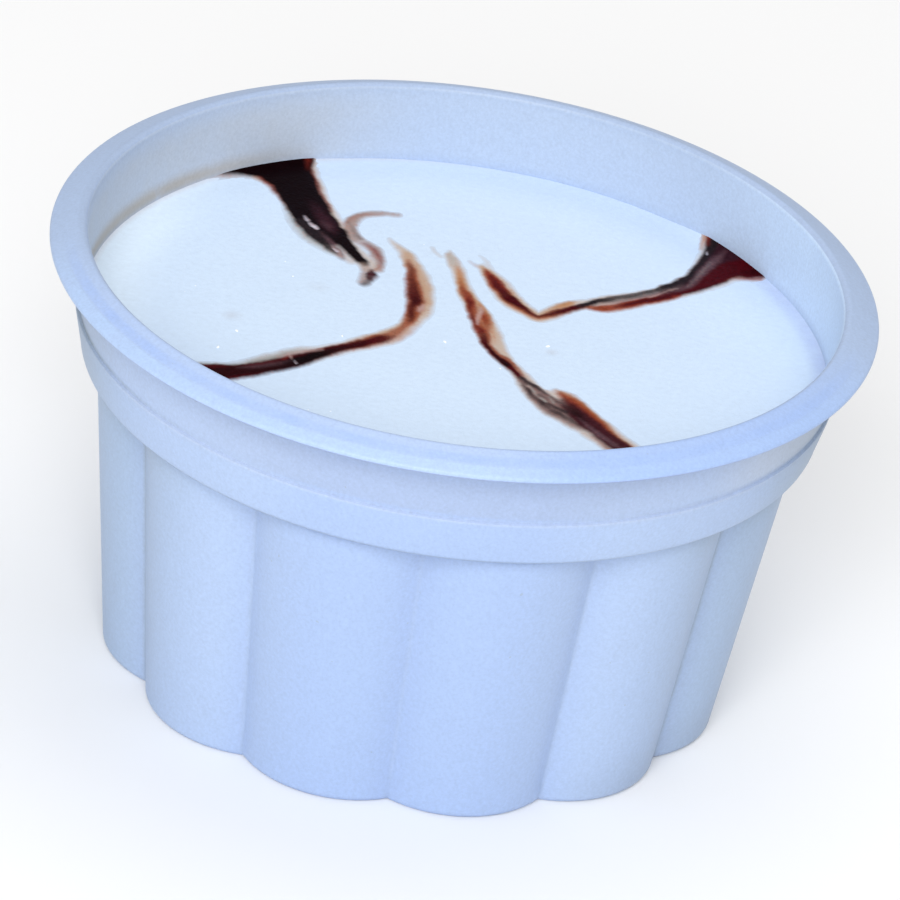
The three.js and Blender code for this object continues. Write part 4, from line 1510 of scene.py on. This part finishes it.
class GELATO_OT_stage(bpy.types.Operator):
    """Sets up the pale floor, the soft studio light and the camera"""

    bl_idname = "gelato.stage"
    bl_label = "Stage"

    def execute(self, context):
        stage = context.scene.gelato_stage
        bpy.ops.object.select_all(action="DESELECT")
        bpy.ops.mesh.primitive_plane_add(size=12)
        floor = bpy.context.object
        floor.name = "floor"
        pale = Finish("pale_floor")
        floor.data.materials.append(pale.surface({"Base Color": rgba(stage.floor), "Roughness": 0.9}))
        world = bpy.data.worlds.new("studio")
        world.use_nodes = True
        world.node_tree.nodes["Background"].inputs[0].default_value = (1.0, 1.0, 1.0, 1.0)
        world.node_tree.nodes["Background"].inputs[1].default_value = stage.fill
        context.scene.world = world
        add_light("key", place=(-0.09, -0.87, 0.64), size=0.6, power=stage.key)
        add_light("top", place=(0.15, 0.3, 1.0), size=0.9, power=stage.top)
        add_camera(context, stage)
        context.scene.view_settings.view_transform = "Standard"
        return {"FINISHED"}


def add_light(name, place, size, power):
    """A square soft light that faces the cup."""
    light = bpy.data.lights.new(name, "AREA")
    light.size = size
    light.energy = power
    lamp = bpy.data.objects.new(name, light)
    bpy.context.collection.objects.link(lamp)
    lamp.location = place
    lamp.rotation_euler = (Vector(LIGHT_TARGET) - Vector(place)).to_track_quat("-Z", "Y").to_euler()


def add_camera(context, stage):
    """A camera above the front edge, rolled to the right."""
    forward = Vector((0, math.cos(CAMERA_DROP), -math.sin(CAMERA_DROP)))
    right = Vector((1, 0, 0))
    up = right.cross(forward)
    aim = Vector((0, 0, AIM_HEIGHT)) + right * AIM_RIGHT * MM - up * AIM_DOWN * MM
    camera = bpy.data.cameras.new("camera")
    camera.lens = stage.lens
    camera.sensor_width = 36
    camera.clip_start = 0.01
    viewer = bpy.data.objects.new("camera", camera)
    context.collection.objects.link(viewer)
    across = right * math.cos(CAMERA_ROLL) + up * math.sin(CAMERA_ROLL)
    above = up * math.cos(CAMERA_ROLL) - right * math.sin(CAMERA_ROLL)
    turn = Matrix((across, above, -forward)).transposed().to_4x4()
    viewer.matrix_world = Matrix.Translation(aim - forward * CAMERA_AWAY) @ turn
    context.scene.camera = viewer


class GELATO_PT_panel(bpy.types.Panel):
    """Lists the steps that build the cup"""

    bl_label = "Gelato cup"
    bl_idname = "GELATO_PT_panel"
    bl_space_type = "VIEW_3D"
    bl_region_type = "UI"
    bl_category = "Gelato"

    def draw(self, context):
        for step in STEPS:
            self.layout.operator(step.bl_idname)


STEPS = (GELATO_OT_cup, GELATO_OT_gelato, GELATO_OT_ripples, GELATO_OT_crumbs, GELATO_OT_stage)
SETTINGS = {
    "gelato_cup": CupSettings,
    "gelato_contents": GelatoSettings,
    "gelato_ripples": RippleSettings,
    "gelato_stage": StageSettings,
}


def register():
    for group in SETTINGS.values():
        bpy.utils.register_class(group)
    for kind in (*STEPS, GELATO_PT_panel):
        bpy.utils.register_class(kind)
    for name, group in SETTINGS.items():
        setattr(bpy.types.Scene, name, PointerProperty(type=group))


def unregister():
    for name in SETTINGS:
        delattr(bpy.types.Scene, name)
    for kind in (GELATO_PT_panel, *reversed(STEPS), *SETTINGS.values()):
        bpy.utils.unregister_class(kind)


def main():
    register()
    bpy.ops.gelato.cup()
    bpy.ops.gelato.gelato()
    bpy.ops.gelato.ripples()
    bpy.ops.gelato.crumbs()
    bpy.ops.gelato.stage()


if __name__ == "__main__":
    main()
